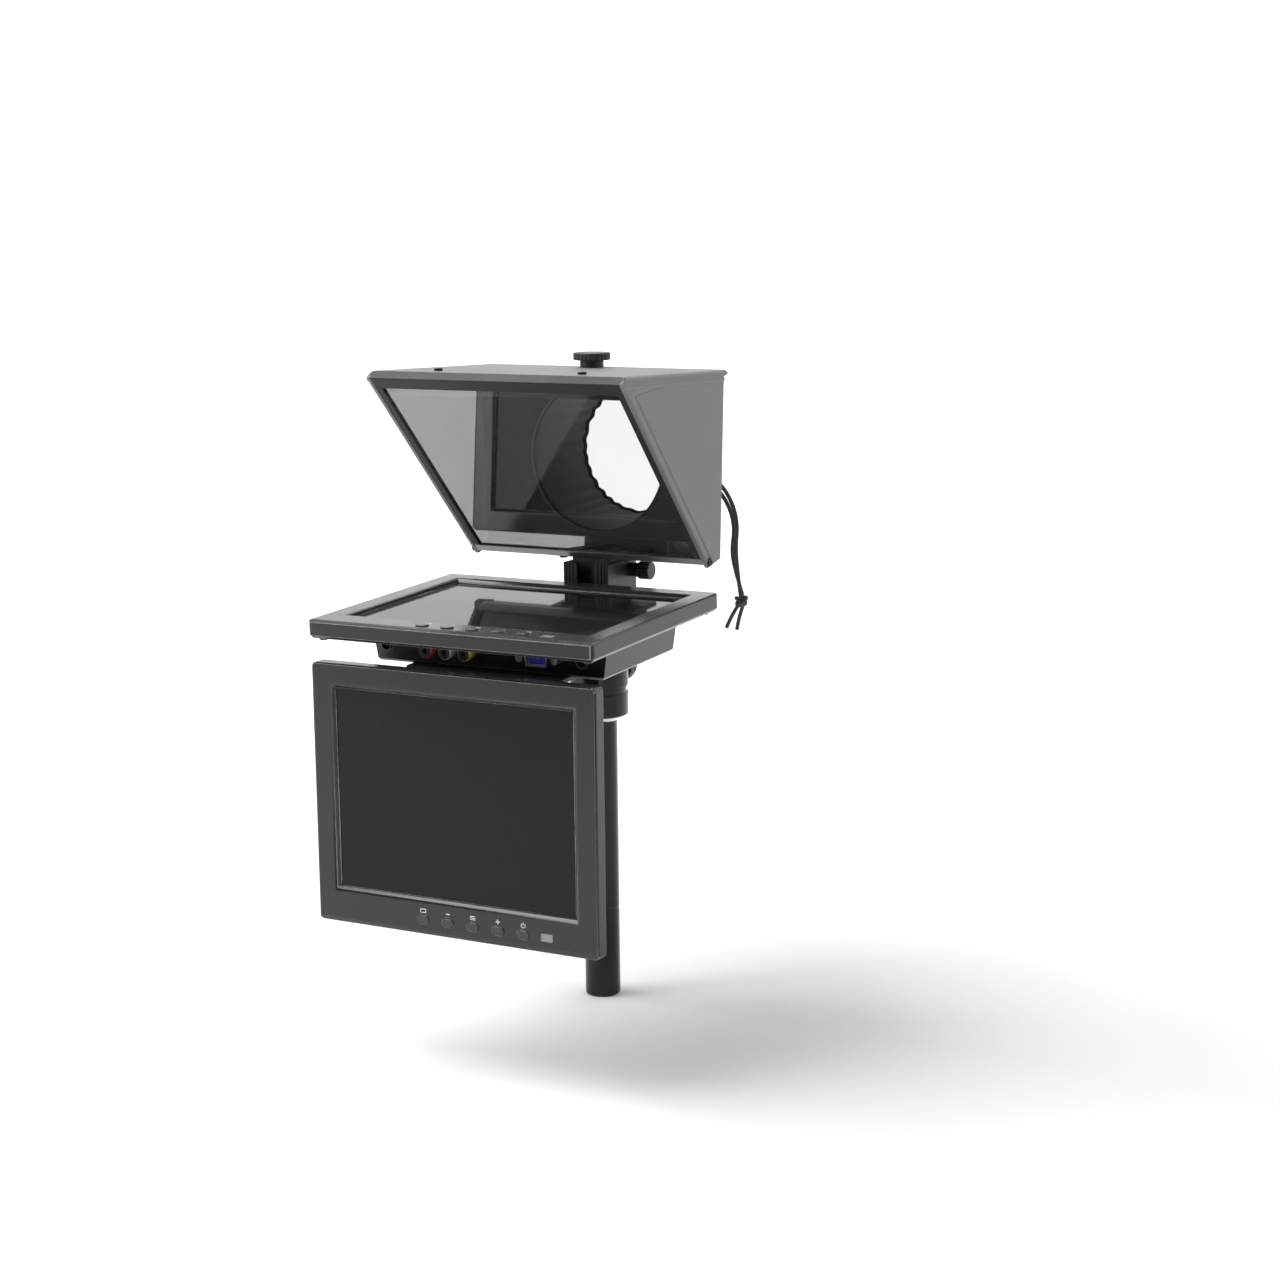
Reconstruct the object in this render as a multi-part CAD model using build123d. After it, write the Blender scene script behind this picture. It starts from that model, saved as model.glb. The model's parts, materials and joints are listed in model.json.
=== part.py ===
"""Two-monitor teleprompter head on its own post.

A hood holds a sloped beamsplitter glass in front of the camera's lens. A flat monitor under the
glass shows the script, and a second monitor below it faces the presenter. Units are millimetres.
+Z is up, the presenter looks along +Y, and the origin is the lower end of the post on its axis.
"""
from build123d import *
import math
import os

# ---------------------------------------------------------------- driving sizes
MONITOR_W = 203.0          # outside width of each monitor
MONITOR_H = 166.5          # outside height of each monitor
MONITOR_D = 34.0           # front face to back of the housing
BEZEL_D = 11.8             # depth of the bezel's side walls
FLAT_EDGE_Y = -23.0        # rear edge of the flat monitor's face
FLAT_TOP_Z = 289.0         # height of that edge
FLAT_PITCH = 2.2           # degrees that the flat monitor dips towards the presenter
TALENT_BACK_Y = -152.6     # rear face of the presenter's monitor
TALENT_TOP_Z = 255.7       # its upper edge
HOOD_HALF_TOP = 92.0       # half width of the hood at its roof
HOOD_HALF_LOW = 88.5       # half width at the lowest tips of its cheeks
LENS_Z = 370.0             # height of the lens axis
POST_R = 12.0              # 24 mm spigot

# ---------------------------------------------------------------- fits and fasteners
RUN = 0.05                 # radial running clearance of a turning shaft
GAP = 0.25                 # clearance between pieces that slide or are dropped in
M4_R, M4_HEAD_R, M4_HEAD_H = 2.0, 3.6, 2.4
M3_R, M3_HEAD_R, M3_HEAD_H = 1.5, 2.8, 1.7
HOLE_CLEAR = 0.05          # radial clearance of a screw hole

# ---------------------------------------------------------------- monitor
BEZEL_WALL = 2.4
BEZEL_FRONT = 3.0          # thickness of the bezel's front wall
CORNER_R = 3.0
BEZEL_FRONT_CHAMFER, BEZEL_BACK_CHAMFER = 0.8, 2.0
LOWER_SLOPE_H, LOWER_SLOPE_D = 3.3, 1.5    # long shallow slope along the lower edge of the face
MARGIN_SIDE, MARGIN_TOP, MARGIN_LOW = 13.6, 13.1, 21.0
BEVEL_IN = 2.6             # width of the sloped lip round the screen
SCREEN_LAP = 1.0           # how far the screen reaches behind the lip
SCREEN_T = 1.2
LCD_LAP = 3.0
LCD_T = 5.0
REAR_PLATE_T = 2.6
HOUSING_TOP, HOUSING_LOW = 28.0, 119.0     # housing, measured down from the upper edge
HOUSING_HALF_FRONT = MONITOR_W / 2 - 15.5
HOUSING_HALF_BACK = HOUSING_HALF_FRONT - 4.0
HOUSING_CHAMFER = 1.4
HOUSING_WALL = 2.4
VESA = 75.0
VESA_BOSS_R, VESA_BOSS_L = 4.5, 4.6
CORNER_BOSS_R, CORNER_SCREW_L, CORNER_HOLE_L = 3.4, 7.0, 5.2
JACK_DEPTH = 23.5          # jack axes behind the front face
JACK_BODY_H = 5.0          # jack bodies below their axes
RCA_X = (-41.2, -27.2, -13.2)
RCA_R, RCA_BORE_R, RCA_OUT = 4.15, 1.7, 8.0
VGA_X, VGA_POST_PITCH = 37.8, 25.0
VGA_W, VGA_H, VGA_OUT = 16.9, 8.4, 6.0
VGA_LEAN, VGA_SHELL_T, VGA_MOUTH_DEPTH = 1.3, 0.7, 2.4
VGA_POST_R, VGA_POST_L, VGA_POST_HOLE_R, VGA_SHANK_R = 2.6, 5.0, 1.4, 1.5
VGA_BODY_HALF, VGA_BODY_L = 15.4, 9.0
RCA_BODY_HALF, RCA_BODY_L = 5.0, 12.0
ROUND_JACK_X = (-75.5, 67.0)
ROUND_JACK_R, ROUND_JACK_BORE_R, ROUND_JACK_OUT, ROUND_JACK_PIN_R = 4.0, 3.1, 1.5, 1.0
ROUND_BODY_HALF, ROUND_BODY_L = 4.6, 10.0
BOARD_T, BOARD_W, BOARD_H = 1.6, 150.0, 66.0
BOARD_BOSS_R, BOARD_BOSS_X, BOARD_BOSS_IN = 3.0, 57.0, 6.0
BOARD_CHIPS = ((-20, -80, 16, 16), (25, -76, 22, 14), (-50, -84, 9, 9), (52, -92, 9, 12))
CHIP_T = 1.8
BUTTON_NAMES = ("mode", "minus", "menu", "plus", "power")
BUTTON_X0, BUTTON_PITCH = -22.7, 18.02
BUTTON_UP = 9.7            # button centres above the monitor's lower edge
BUTTON_W, BUTTON_H, BUTTON_OUT = 8.7, 5.7, 0.9
BUTTON_FLANGE, BUTTON_FLANGE_T = 0.8, 1.1
BUTTON_TRAVEL = 0.8
SWITCH_R, SWITCH_L = 1.7, 1.5
KEY_BOARD_HALF, KEY_BOARD_LEFT, KEY_BOARD_RIGHT = 4.8, 14.0, 13.0
KEY_BOSS_R, KEY_BOSS_LEFT, KEY_BOSS_RIGHT = 2.2, 10.5, 9.5
IR_X, IR_W, IR_H = 65.7, 7.7, 4.5
VENT_COUNT, VENT_PITCH, VENT_W, VENT_L = 7, 5.0, 2.0, 34.0

# ---------------------------------------------------------------- post and receiver
POST_WALL = 2.5
POST_HEADROOM = 4.75       # free height above the post inside the sleeve
POST_MARK_Z, POST_MARK_W, POST_MARK_D = 60.0, 2.0, 0.5
PLUG_DEPTH, PLUG_FLOOR, PLUG_BORE_R = 12.0, 4.0, 4.0
RING_R, RING_T = POST_R + 2.5, 3.0
SLEEVE_R = POST_R + 7.75
SLEEVE_LOW = 196.2
SLEEVE_FLANGE_T, SLEEVE_FLANGE_EDGE = 4.0, 4.3
SLEEVE_ROOF = 9.0
WAIST_Z, WAIST_W, WAIST_DEPTH = 211.5, 5.0, 1.1
RECEIVER_KNOB_Z = 226.0
RECEIVER_SCREW_OUT = 3.95  # receiver screws outside the upright's side
KNOB_HEAD_R, KNOB_HEAD_T, KNOB_NECK_R, KNOB_NECK_T = 12.25, 4.7, 7.75, 4.8
SIDE_KNOB_R, SIDE_KNOB_T, SIDE_KNOB_BOSS_R = 6.0, 9.0, 4.8
STUD_R = 3.0

# ---------------------------------------------------------------- tray and talent bracket
TRAY_T = 3.0
TRAY_REAR_Y = 27.0
TRAY_BEND = 7.5            # bend line, measured down the flat monitor from its rear edge
TRAY_REACH = 125.5         # front bend, measured the same way
TRAY_LIP = 13.0
TRAY_HALF_FRONT, TRAY_HALF_REAR = 57.0, 32.0
HANGER_HALF, HANGER_T, HANGER_DROP = 30.0, 3.0, 96.0
HANGER_Y, HANGER_FOOT, HANGER_BOLT_X = 92.0, 22.0, 20.0
EAR_IN, EAR_OUT, EAR_R, PIN_R = 14.0, 18.5, 8.0, 4.0
HINGE_DOWN, HINGE_BACK = 117.0, 113.0      # hinge line in the flat monitor's own frame
PIN_HEAD_R, PIN_HEAD_T = 7.0, 3.0
VESA_PLATE_HALF, VESA_PLATE_T, VESA_PLATE_R = 44.0, 3.0, 5.0

# ---------------------------------------------------------------- upright and hood stem
UPRIGHT_HALF = 17.0
UPRIGHT_FRONT, UPRIGHT_REAR = -16.4, 23.0
UPRIGHT_WALL = 2.6
UPRIGHT_TOP = 301.0
UPRIGHT_LIP = 10.2
UPRIGHT_FOOT_T = 5.0
UPRIGHT_SCREW_X, UPRIGHT_SCREW_Y, UPRIGHT_SCREW_DEPTH = UPRIGHT_HALF - 9.0, 5.0, 5.5
RIDGE_X, RIDGE_W, RIDGE_D = (2.6, 5.2, 7.8), 0.8, 0.6     # ridges of the lips, from the slot
STEM_FRONT = -8.5
STEM_WALL = 2.5
STEM_LOW = 271.0
STEM_HEAD_LOW, STEM_HEAD_T, STEM_HEAD_HALF, STEM_HEAD_REAR = 303.6, 3.0, 32.0, 22.0
SLIDE_KNOB_Y, SLIDE_KNOB_Z = 15.0, 293.8
SLIDE_BOSS_T, STUD_CLEAR = 7.0, 7.0

# ---------------------------------------------------------------- hood
HOOD_WALL = 2.6
NOSE = (-130.8, 428.4)     # upper end of the sloped rim
NOSE_TOP = (-126.0, 433.2)
ROOF_REAR = (13.0, 429.0)
CHEEK_TIP = (-11.4, 302.4)
CHEEK_REAR = (6.0, 306.7)
ROOF_EDGE_R, ROOF_CORNER_R = 4.0, 6.0
NOSE_T = 5.2               # depth of the solid nose behind the rim
SEAL_T, SEAL_W, SEAL_TOP_W = 1.6, 4.6, 6.5
GLASS_T = 3.0
GLASS_TOP_Z = 425.6
LEDGE_TOP, LEDGE_T = 308.8, 4.5
LEDGE_REAR_Y = -9.0
RETAINER_LOW = 418.0
RETAINER_T, RETAINER_GAP = 7.0, 1.5
PLATE_T = 2.5
PLATE_HOLE_R = 50.0
PLATE_FLANGE = 16.0
LOW_FLANGE_Y = -8.5
TOP_SCREW_X, TOP_SCREW_Y = 52.0, -109.0
TOP_SCREW_L, LEDGE_SCREW_L, RETAINER_HOLE_L = 8.0, 7.0, 15.0
LEDGE_SETBACK = 0.3        # front of the bar under the glass, behind the rim
LEDGE_SCREW_Y, LEDGE_SCREW_Z = -11.0, 306.4
STEM_SCREW_X, STEM_SCREW_Y = 24.0, -3.5
HOOD_KNOB_Y, HOOD_STUD_L = -4.0, 9.0

# ---------------------------------------------------------------- lens shroud and its draw cord
FABRIC_T = 0.8
SHROUD_FLANGE_R = 55.6
SHROUD_MOUTH_R = 48.6
SHROUD_HEM_Y, SHROUD_HEM_L = 60.0, 6.0
SHROUD_HEM_R = 42.6
SHROUD_HEM_T, SHROUD_HEM_ROUND = 5.4, 1.0
SHROUD_STEP = 1.3          # cloth stands this far proud of the mouth inside the ring
HEM_STEP = 1.6
CLAMP_RING_T = 2.5
RING_SCREW_COUNT = 6
CORD_R = 1.5
CORD_A = [(46.6, 61.1, 357.4), (59.0, 61.1, 351.5), (69.5, 61.1, 339.0), (74.6, 61.1, 323.0),
          (73.0, 61.1, 306.0), (74.2, 61.1, 290.0), (76.6, 61.1, 273.6)]
CORD_B = [(44.6, 64.9, 352.4), (56.0, 64.9, 346.5), (66.0, 64.9, 334.5), (70.6, 64.9, 319.0),
          (68.0, 64.9, 302.5), (71.4, 64.9, 287.5), (76.0, 64.9, 273.6)]
KNOT_CENTRE = (76.2, 63.0, 269.2)
KNOT_HALF, KNOT_ROUND = (5.2, 4.6, 4.4), 1.6
TAIL_DROPS = (((74.2, 61.3, 265.6), (69.0, 61.3, 257.8), (65.8, 61.3, 250.2)),
              ((76.4, 64.7, 265.2), (73.2, 64.7, 256.4), (72.0, 64.7, 248.8)))

os.makedirs("parts", exist_ok=True)


# ================================================================ helpers
def save(name, shape):
    """Write one sub-part, with its separate bodies kept as separate solids."""
    solids = shape.solids()
    part = solids[0] if len(solids) == 1 else Compound(children=list(solids))
    export_step(part, f"parts/{name}.step")


def block(x0, x1, y0, y1, z0, z1):
    """Box from its six faces."""
    return Pos((x0 + x1) / 2, (y0 + y1) / 2, (z0 + z1) / 2) * Box(x1 - x0, y1 - y0, z1 - z0)


def rod(radius, start, axis, length):
    """Cylinder that starts at a point and runs along an axis."""
    return extrude(Plane(origin=start, z_dir=axis) * Circle(radius), length)


def yz_prism(points, half):
    """Outline in the YZ plane, extruded both ways to half the width."""
    return extrude(Plane.YZ * Polygon(*points, align=None), half, both=True)


def xz_prism(points, y0, y1):
    """Outline in the XZ plane, extruded from y0 to y1."""
    face = Pos(0, y1, 0) * (Plane.XZ * Polygon(*points, align=None))
    return extrude(face, y1 - y0, dir=(0, -1, 0))


def cap_screw(radius, head_r, head_h, length):
    """Screw with its head above z = 0 and its shank below, with a driver recess."""
    head = fillet(rod(head_r, (0, 0, 0), (0, 0, 1), head_h).faces().sort_by(Axis.Z)[-1].edges(),
                  head_h * 0.3)
    recess = Pos(0, 0, head_h) * extrude(RegularPolygon(head_r * 0.5, 6), -head_h * 0.5)
    return head + rod(radius, (0, 0, 0), (0, 0, -1), length) - recess


def knob(head_r, head_t, neck_r, neck_t, stud_l, flutes=24):
    """Fluted thumb knob standing on z = 0 with its moulded-in stud below."""
    head = rod(head_r, (0, 0, neck_t), (0, 0, 1), head_t)
    head = chamfer(head.edges(), 0.5)
    flute = Pos(head_r + 0.45, 0, neck_t) * Cylinder(0.95, 3 * head_t)
    for k in range(flutes):
        head -= Rot(0, 0, k * 360 / flutes) * flute
    shape = head + rod(neck_r, (0, 0, 0), (0, 0, 1), neck_t) if neck_t else head
    return shape + rod(STUD_R, (0, 0, 0.5), (0, 0, -1), stud_l + 0.5)


# ================================================================ monitor, in its own frame
# x across, y up from the upper edge, z out of the screen, front face at z = 0
WINDOW_HALF = MONITOR_W / 2 - MARGIN_SIDE - BEVEL_IN
WINDOW_TOP = -MARGIN_TOP - BEVEL_IN
WINDOW_LOW = -MONITOR_H + MARGIN_LOW + BEVEL_IN
INNER_HALF = MONITOR_W / 2 - BEZEL_WALL
SCREEN_BACK = -BEZEL_FRONT - SCREEN_T
LCD_BACK = SCREEN_BACK - LCD_T
BUTTON_Y = -MONITOR_H + BUTTON_UP
BUTTON_X = [BUTTON_X0 + BUTTON_PITCH * k for k in range(len(BUTTON_NAMES))]
KEY_BOARD_Z = -BEZEL_FRONT - GAP - BUTTON_FLANGE_T - BUTTON_TRAVEL - SWITCH_L - 0.2
CORNER_IN = CORNER_BOSS_R + 1.2
CORNER_SCREWS = [(sx * (INNER_HALF - CORNER_IN), y) for sx in (-1, 1)
                 for y in (-BEZEL_WALL - CORNER_IN, -MONITOR_H + BEZEL_WALL + CORNER_IN)]
VESA_MID_Y = -(HOUSING_TOP + HOUSING_LOW) / 2
VESA_POINTS = [(sx * VESA / 2, VESA_MID_Y + sy * VESA / 2) for sx in (-1, 1) for sy in (-1, 1)]
BOARD_FACE = -JACK_DEPTH + 6.0
BOARD_LOW_Y = -HOUSING_LOW + HOUSING_WALL + 3.0
JACK_WALL_Y = -HOUSING_LOW


def window_tool(grow):
    """Tapered cutter for the opening round the screen, widest at the front face."""
    mid_y = (WINDOW_TOP + WINDOW_LOW) / 2
    height = WINDOW_TOP - WINDOW_LOW
    lip = Pos(0, mid_y, -BEVEL_IN) * Rectangle(2 * WINDOW_HALF, height)
    rim = Pos(0, mid_y, grow) * Rectangle(2 * (WINDOW_HALF + BEVEL_IN + grow),
                                          height + 2 * (BEVEL_IN + grow))
    straight = block(-WINDOW_HALF, WINDOW_HALF, WINDOW_LOW, WINDOW_TOP, -BEZEL_D, -BEVEL_IN)
    return loft([lip, rim]) + straight


def make_bezel():
    shell = Pos(0, -MONITOR_H / 2, -BEZEL_D / 2) * Box(MONITOR_W, MONITOR_H, BEZEL_D)
    shell = fillet(shell.edges().filter_by(Axis.Z), CORNER_R)
    shell = chamfer(shell.faces().sort_by(Axis.Z)[0].edges(), BEZEL_BACK_CHAMFER)
    shell = chamfer(shell.faces().sort_by(Axis.Z)[-1].edges(), BEZEL_FRONT_CHAMFER)
    low = -MONITOR_H
    shell -= yz_prism([(low + LOWER_SLOPE_H, 0), (low, -LOWER_SLOPE_D), (low - 1, -LOWER_SLOPE_D),
                       (low - 1, 1), (low + LOWER_SLOPE_H, 1)], MONITOR_W)
    shell -= block(-INNER_HALF, INNER_HALF, -MONITOR_H + BEZEL_WALL, -BEZEL_WALL,
                   -BEZEL_D - 1, -BEZEL_FRONT)
    shell -= window_tool(0.5)
    for x in BUTTON_X:
        shell -= Pos(x, BUTTON_Y, -BEZEL_FRONT / 2) * extrude(
            SlotOverall(BUTTON_W + 2 * GAP, BUTTON_H + 2 * GAP), 2 * BEZEL_FRONT, both=True)
    shell -= block(IR_X - IR_W / 2, IR_X + IR_W / 2, BUTTON_Y - IR_H / 2, BUTTON_Y + IR_H / 2,
                   -BEZEL_FRONT - 1, 1)
    for x, y in CORNER_SCREWS:
        shell += rod(CORNER_BOSS_R, (x, y, -BEZEL_FRONT), (0, 0, -1), LCD_T + SCREEN_T)
        shell -= rod(M3_R + HOLE_CLEAR, (x, y, LCD_BACK), (0, 0, 1), CORNER_HOLE_L)
    for x in (BUTTON_X[0] - KEY_BOSS_LEFT, IR_X + KEY_BOSS_RIGHT):
        shell += rod(KEY_BOSS_R, (x, BUTTON_Y, -BEZEL_FRONT), (0, 0, -1), -BEZEL_FRONT - KEY_BOARD_Z)
    return shell


def make_rear_housing():
    half = INNER_HALF - GAP
    plate = block(-half, half, -MONITOR_H + BEZEL_WALL + GAP, -BEZEL_WALL - GAP,
                  LCD_BACK - REAR_PLATE_T, LCD_BACK)
    front_z, back_z = LCD_BACK - REAR_PLATE_T / 2, -MONITOR_D
    outer = xz_prism([(-HOUSING_HALF_FRONT, front_z), (HOUSING_HALF_FRONT, front_z),
                      (HOUSING_HALF_BACK, back_z), (-HOUSING_HALF_BACK, back_z)],
                     -HOUSING_LOW, -HOUSING_TOP)
    outer = chamfer(outer.faces().sort_by(Axis.Z)[0].edges(), HOUSING_CHAMFER)
    wall = HOUSING_WALL
    inner = xz_prism([(-HOUSING_HALF_FRONT + wall, LCD_BACK + 1),
                      (HOUSING_HALF_FRONT - wall, LCD_BACK + 1),
                      (HOUSING_HALF_BACK - wall, back_z + wall),
                      (-HOUSING_HALF_BACK + wall, back_z + wall)],
                     -HOUSING_LOW + wall, -HOUSING_TOP - wall)
    shell = plate + outer - inner
    for x, y in VESA_POINTS:
        shell += rod(VESA_BOSS_R, (x, y, back_z), (0, 0, 1), VESA_BOSS_L)
        shell -= rod(M4_R + HOLE_CLEAR, (x, y, back_z - 1), (0, 0, 1), VESA_BOSS_L + 2)
    for sx in (-1, 1):
        x = sx * BOARD_BOSS_X
        for y in (BOARD_LOW_Y + BOARD_BOSS_IN, BOARD_LOW_Y + BOARD_H - BOARD_BOSS_IN):
            shell += rod(BOARD_BOSS_R, (x, y, back_z + 1), (0, 0, 1),
                         BOARD_FACE - back_z - 1)
    for x, y in CORNER_SCREWS:
        shell -= rod(M3_R + HOLE_CLEAR, (x, y, LCD_BACK - 4), (0, 0, 1), 6)
    for k in range(VENT_COUNT):
        y = VESA_MID_Y + (k - (VENT_COUNT - 1) / 2) * VENT_PITCH
        shell -= block(-VENT_L / 2, VENT_L / 2, y - VENT_W / 2, y + VENT_W / 2,
                       back_z - 1, back_z + wall + 1)
    for x in RCA_X:
        shell -= rod(RCA_R + GAP, (x, JACK_WALL_Y - 1, -JACK_DEPTH), (0, 1, 0), wall + 2)
    for x in ROUND_JACK_X:
        shell -= rod(ROUND_JACK_R + GAP, (x, JACK_WALL_Y - 1, -JACK_DEPTH), (0, 1, 0), wall + 2)
    half_w, half_h = VGA_W / 2 + GAP, VGA_H / 2 + GAP
    shell -= block(VGA_X - half_w, VGA_X + half_w, JACK_WALL_Y - 1, JACK_WALL_Y + wall + 1,
                   -JACK_DEPTH - half_h, -JACK_DEPTH + half_h)
    for sx in (-1, 1):
        shell -= rod(VGA_SHANK_R + 2 * HOLE_CLEAR,
                     (VGA_X + sx * VGA_POST_PITCH / 2, JACK_WALL_Y - 1, -JACK_DEPTH),
                     (0, 1, 0), wall + 2)
    return shell


def make_driver_board():
    board = block(-BOARD_W / 2, BOARD_W / 2, BOARD_LOW_Y, BOARD_LOW_Y + BOARD_H,
                  BOARD_FACE, BOARD_FACE + BOARD_T)
    for x, y, w, h in BOARD_CHIPS:
        board += block(x - w / 2, x + w / 2, y - h / 2, y + h / 2, BOARD_FACE + BOARD_T,
                       BOARD_FACE + BOARD_T + CHIP_T)
    return board


def make_key_board():
    board = block(BUTTON_X[0] - KEY_BOARD_LEFT, IR_X + KEY_BOARD_RIGHT, BUTTON_Y - KEY_BOARD_HALF,
                  BUTTON_Y + KEY_BOARD_HALF, KEY_BOARD_Z - BOARD_T, KEY_BOARD_Z)
    for x in BUTTON_X:
        board += rod(SWITCH_R, (x, BUTTON_Y, KEY_BOARD_Z), (0, 0, 1), SWITCH_L)
    return board


def make_button():
    cap = extrude(SlotOverall(BUTTON_W, BUTTON_H), BUTTON_OUT)
    cap = chamfer(cap.faces().sort_by(Axis.Z)[-1].edges(), 0.3)
    stem = extrude(SlotOverall(BUTTON_W, BUTTON_H), -BEZEL_FRONT - GAP)
    flange = Pos(0, 0, -BEZEL_FRONT - GAP) * extrude(
        SlotOverall(BUTTON_W + 2 * BUTTON_FLANGE, BUTTON_H + 2 * BUTTON_FLANGE),
        -BUTTON_FLANGE_T)
    return cap + stem + flange


def make_rca_jacks():
    group = []
    inner_y = JACK_WALL_Y + HOUSING_WALL
    for x in RCA_X:
        body = block(x - RCA_BODY_HALF, x + RCA_BODY_HALF, inner_y, inner_y + RCA_BODY_L,
                     -JACK_DEPTH - JACK_BODY_H, BOARD_FACE)
        neck = rod(RCA_R, (x, inner_y + 1, -JACK_DEPTH), (0, -1, 0),
                   RCA_OUT + HOUSING_WALL + 1)
        bore = rod(RCA_BORE_R, (x, JACK_WALL_Y - RCA_OUT - 1, -JACK_DEPTH), (0, 1, 0), 15)
        group.append((body + neck - bore).solids()[0])
    return Compound(children=group)


def make_round_jacks():
    group = []
    inner_y = JACK_WALL_Y + HOUSING_WALL
    for x in ROUND_JACK_X:
        body = block(x - ROUND_BODY_HALF, x + ROUND_BODY_HALF, inner_y, inner_y + ROUND_BODY_L,
                     -JACK_DEPTH - JACK_BODY_H, BOARD_FACE)
        neck = rod(ROUND_JACK_R, (x, inner_y + 1, -JACK_DEPTH), (0, -1, 0),
                   HOUSING_WALL + ROUND_JACK_OUT)
        bore = rod(ROUND_JACK_BORE_R, (x, JACK_WALL_Y - 1, -JACK_DEPTH), (0, 1, 0), 10)
        pin = rod(ROUND_JACK_PIN_R, (x, inner_y + 8, -JACK_DEPTH), (0, -1, 0), 9.6)
        group.append((body + neck - bore + pin).solids()[0])
    return Compound(children=group)


def make_vga_port():
    inner_y = JACK_WALL_Y + HOUSING_WALL
    out_y = JACK_WALL_Y - VGA_OUT
    z0 = -JACK_DEPTH
    body = block(VGA_X - VGA_BODY_HALF, VGA_X + VGA_BODY_HALF, inner_y, inner_y + VGA_BODY_L,
                 z0 - JACK_BODY_H, BOARD_FACE)
    half, lean, wall = VGA_W / 2, VGA_LEAN, VGA_SHELL_T
    mouth = [(VGA_X - half, z0 + VGA_H / 2), (VGA_X + half, z0 + VGA_H / 2),
             (VGA_X + half - lean, z0 - VGA_H / 2), (VGA_X - half + lean, z0 - VGA_H / 2)]
    shell = xz_prism(mouth, out_y, inner_y + 1)
    top, low = z0 + VGA_H / 2 - wall, z0 - VGA_H / 2 + wall
    hollow = [(VGA_X - half + wall, top), (VGA_X + half - wall, top),
              (VGA_X + half - lean - wall, low), (VGA_X - half + lean + wall, low)]
    shell -= xz_prism(hollow, out_y - 1, out_y + VGA_MOUTH_DEPTH)
    port = body + shell
    for sx in (-1, 1):
        x = VGA_X + sx * VGA_POST_PITCH / 2
        hexagon = Plane(origin=(x, JACK_WALL_Y, z0), z_dir=(0, -1, 0)) * RegularPolygon(VGA_POST_R, 6)
        hole = rod(VGA_POST_HOLE_R, (x, JACK_WALL_Y - VGA_POST_L - 1, z0), (0, 1, 0), VGA_POST_L)
        port += extrude(hexagon, VGA_POST_L) - hole
        port += rod(VGA_SHANK_R, (x, inner_y + 1, z0), (0, -1, 0), HOUSING_WALL + 2)
    return port


def make_monitor_screws():
    group = []
    for x, y in CORNER_SCREWS:
        screw = cap_screw(M3_R, M3_HEAD_R, M3_HEAD_H, CORNER_SCREW_L)
        group.append(Pos(x, y, LCD_BACK - REAR_PLATE_T) * Rot(180, 0, 0) * screw)
    return group


def make_vesa_screws(grip):
    """Four screws through a plate of the stated thickness into the housing's bosses."""
    screw = cap_screw(M4_R, M4_HEAD_R, M4_HEAD_H, grip + VESA_BOSS_L - GAP)
    return [Pos(x, y, -MONITOR_D - grip) * Rot(180, 0, 0) * screw for x, y in VESA_POINTS]


def save_monitor(prefix, place, vesa_grip):
    """Write every piece of one monitor, moved to its place."""
    screen_half = WINDOW_HALF + SCREEN_LAP
    screen = block(-screen_half, screen_half, WINDOW_LOW - SCREEN_LAP, WINDOW_TOP + SCREEN_LAP,
                   SCREEN_BACK, -BEZEL_FRONT)
    lcd_half = WINDOW_HALF + LCD_LAP
    lcd = block(-lcd_half, lcd_half, WINDOW_LOW - LCD_LAP, WINDOW_TOP + LCD_LAP,
                LCD_BACK, SCREEN_BACK)
    ir_lens = block(IR_X - IR_W / 2, IR_X + IR_W / 2, BUTTON_Y - IR_H / 2, BUTTON_Y + IR_H / 2,
                    -BEZEL_FRONT, -0.3)
    pieces = {"bezel": make_bezel(), "screen": screen, "lcd_module": lcd, "ir_window": ir_lens,
              "rear_housing": make_rear_housing(), "driver_board": make_driver_board(),
              "key_board": make_key_board(), "rca_jacks": make_rca_jacks(),
              "round_jacks": make_round_jacks(), "vga_port": make_vga_port()}
    for name, shape in pieces.items():
        save(f"{prefix}_{name}", place * shape)
    for name, x in zip(BUTTON_NAMES, BUTTON_X):
        save(f"{prefix}_button_{name}", place * Pos(x, BUTTON_Y, 0) * make_button())
    screws = make_monitor_screws() + make_vesa_screws(vesa_grip)
    save(f"{prefix}_screws", place * Compound(children=[s.solids()[0] for s in screws]))


FLAT_PLACE = Pos(0, FLAT_EDGE_Y, FLAT_TOP_Z) * Rot(FLAT_PITCH, 0, 0)
TALENT_FACE_Y = TALENT_BACK_Y - MONITOR_D
TALENT_PLACE = Pos(0, TALENT_FACE_Y, TALENT_TOP_Z) * Rot(90, 0, 0)


def flat_point(down, back):
    """Y and Z of a point in the flat monitor's frame, down its height and behind its face."""
    t = math.radians(FLAT_PITCH)
    return (FLAT_EDGE_Y - down * math.cos(t) + back * math.sin(t),
            FLAT_TOP_Z - down * math.sin(t) - back * math.cos(t))


# ================================================================ post, ring and receiver
BEND = flat_point(TRAY_BEND, MONITOR_D)
FRONT_BEND = flat_point(TRAY_REACH, MONITOR_D)
TRAY_TOP = BEND[1]
TRAY_LOW = TRAY_TOP - TRAY_T
POST_TOP = TRAY_LOW - SLEEVE_ROOF - POST_HEADROOM
RECEIVER_SCREW_X, RECEIVER_SCREW_Y = UPRIGHT_HALF + RECEIVER_SCREW_OUT, 0.61 * SLEEVE_R
RECEIVER_SCREWS = [(sx * RECEIVER_SCREW_X, sy * RECEIVER_SCREW_Y)
                   for sx in (-1, 1) for sy in (-1, 1)]
SLEEVE_FLANGE_R = math.hypot(RECEIVER_SCREW_X, RECEIVER_SCREW_Y) + SLEEVE_FLANGE_EDGE
UPRIGHT_SCREWS = [(sx * UPRIGHT_SCREW_X, UPRIGHT_SCREW_Y) for sx in (-1, 1)]


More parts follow.
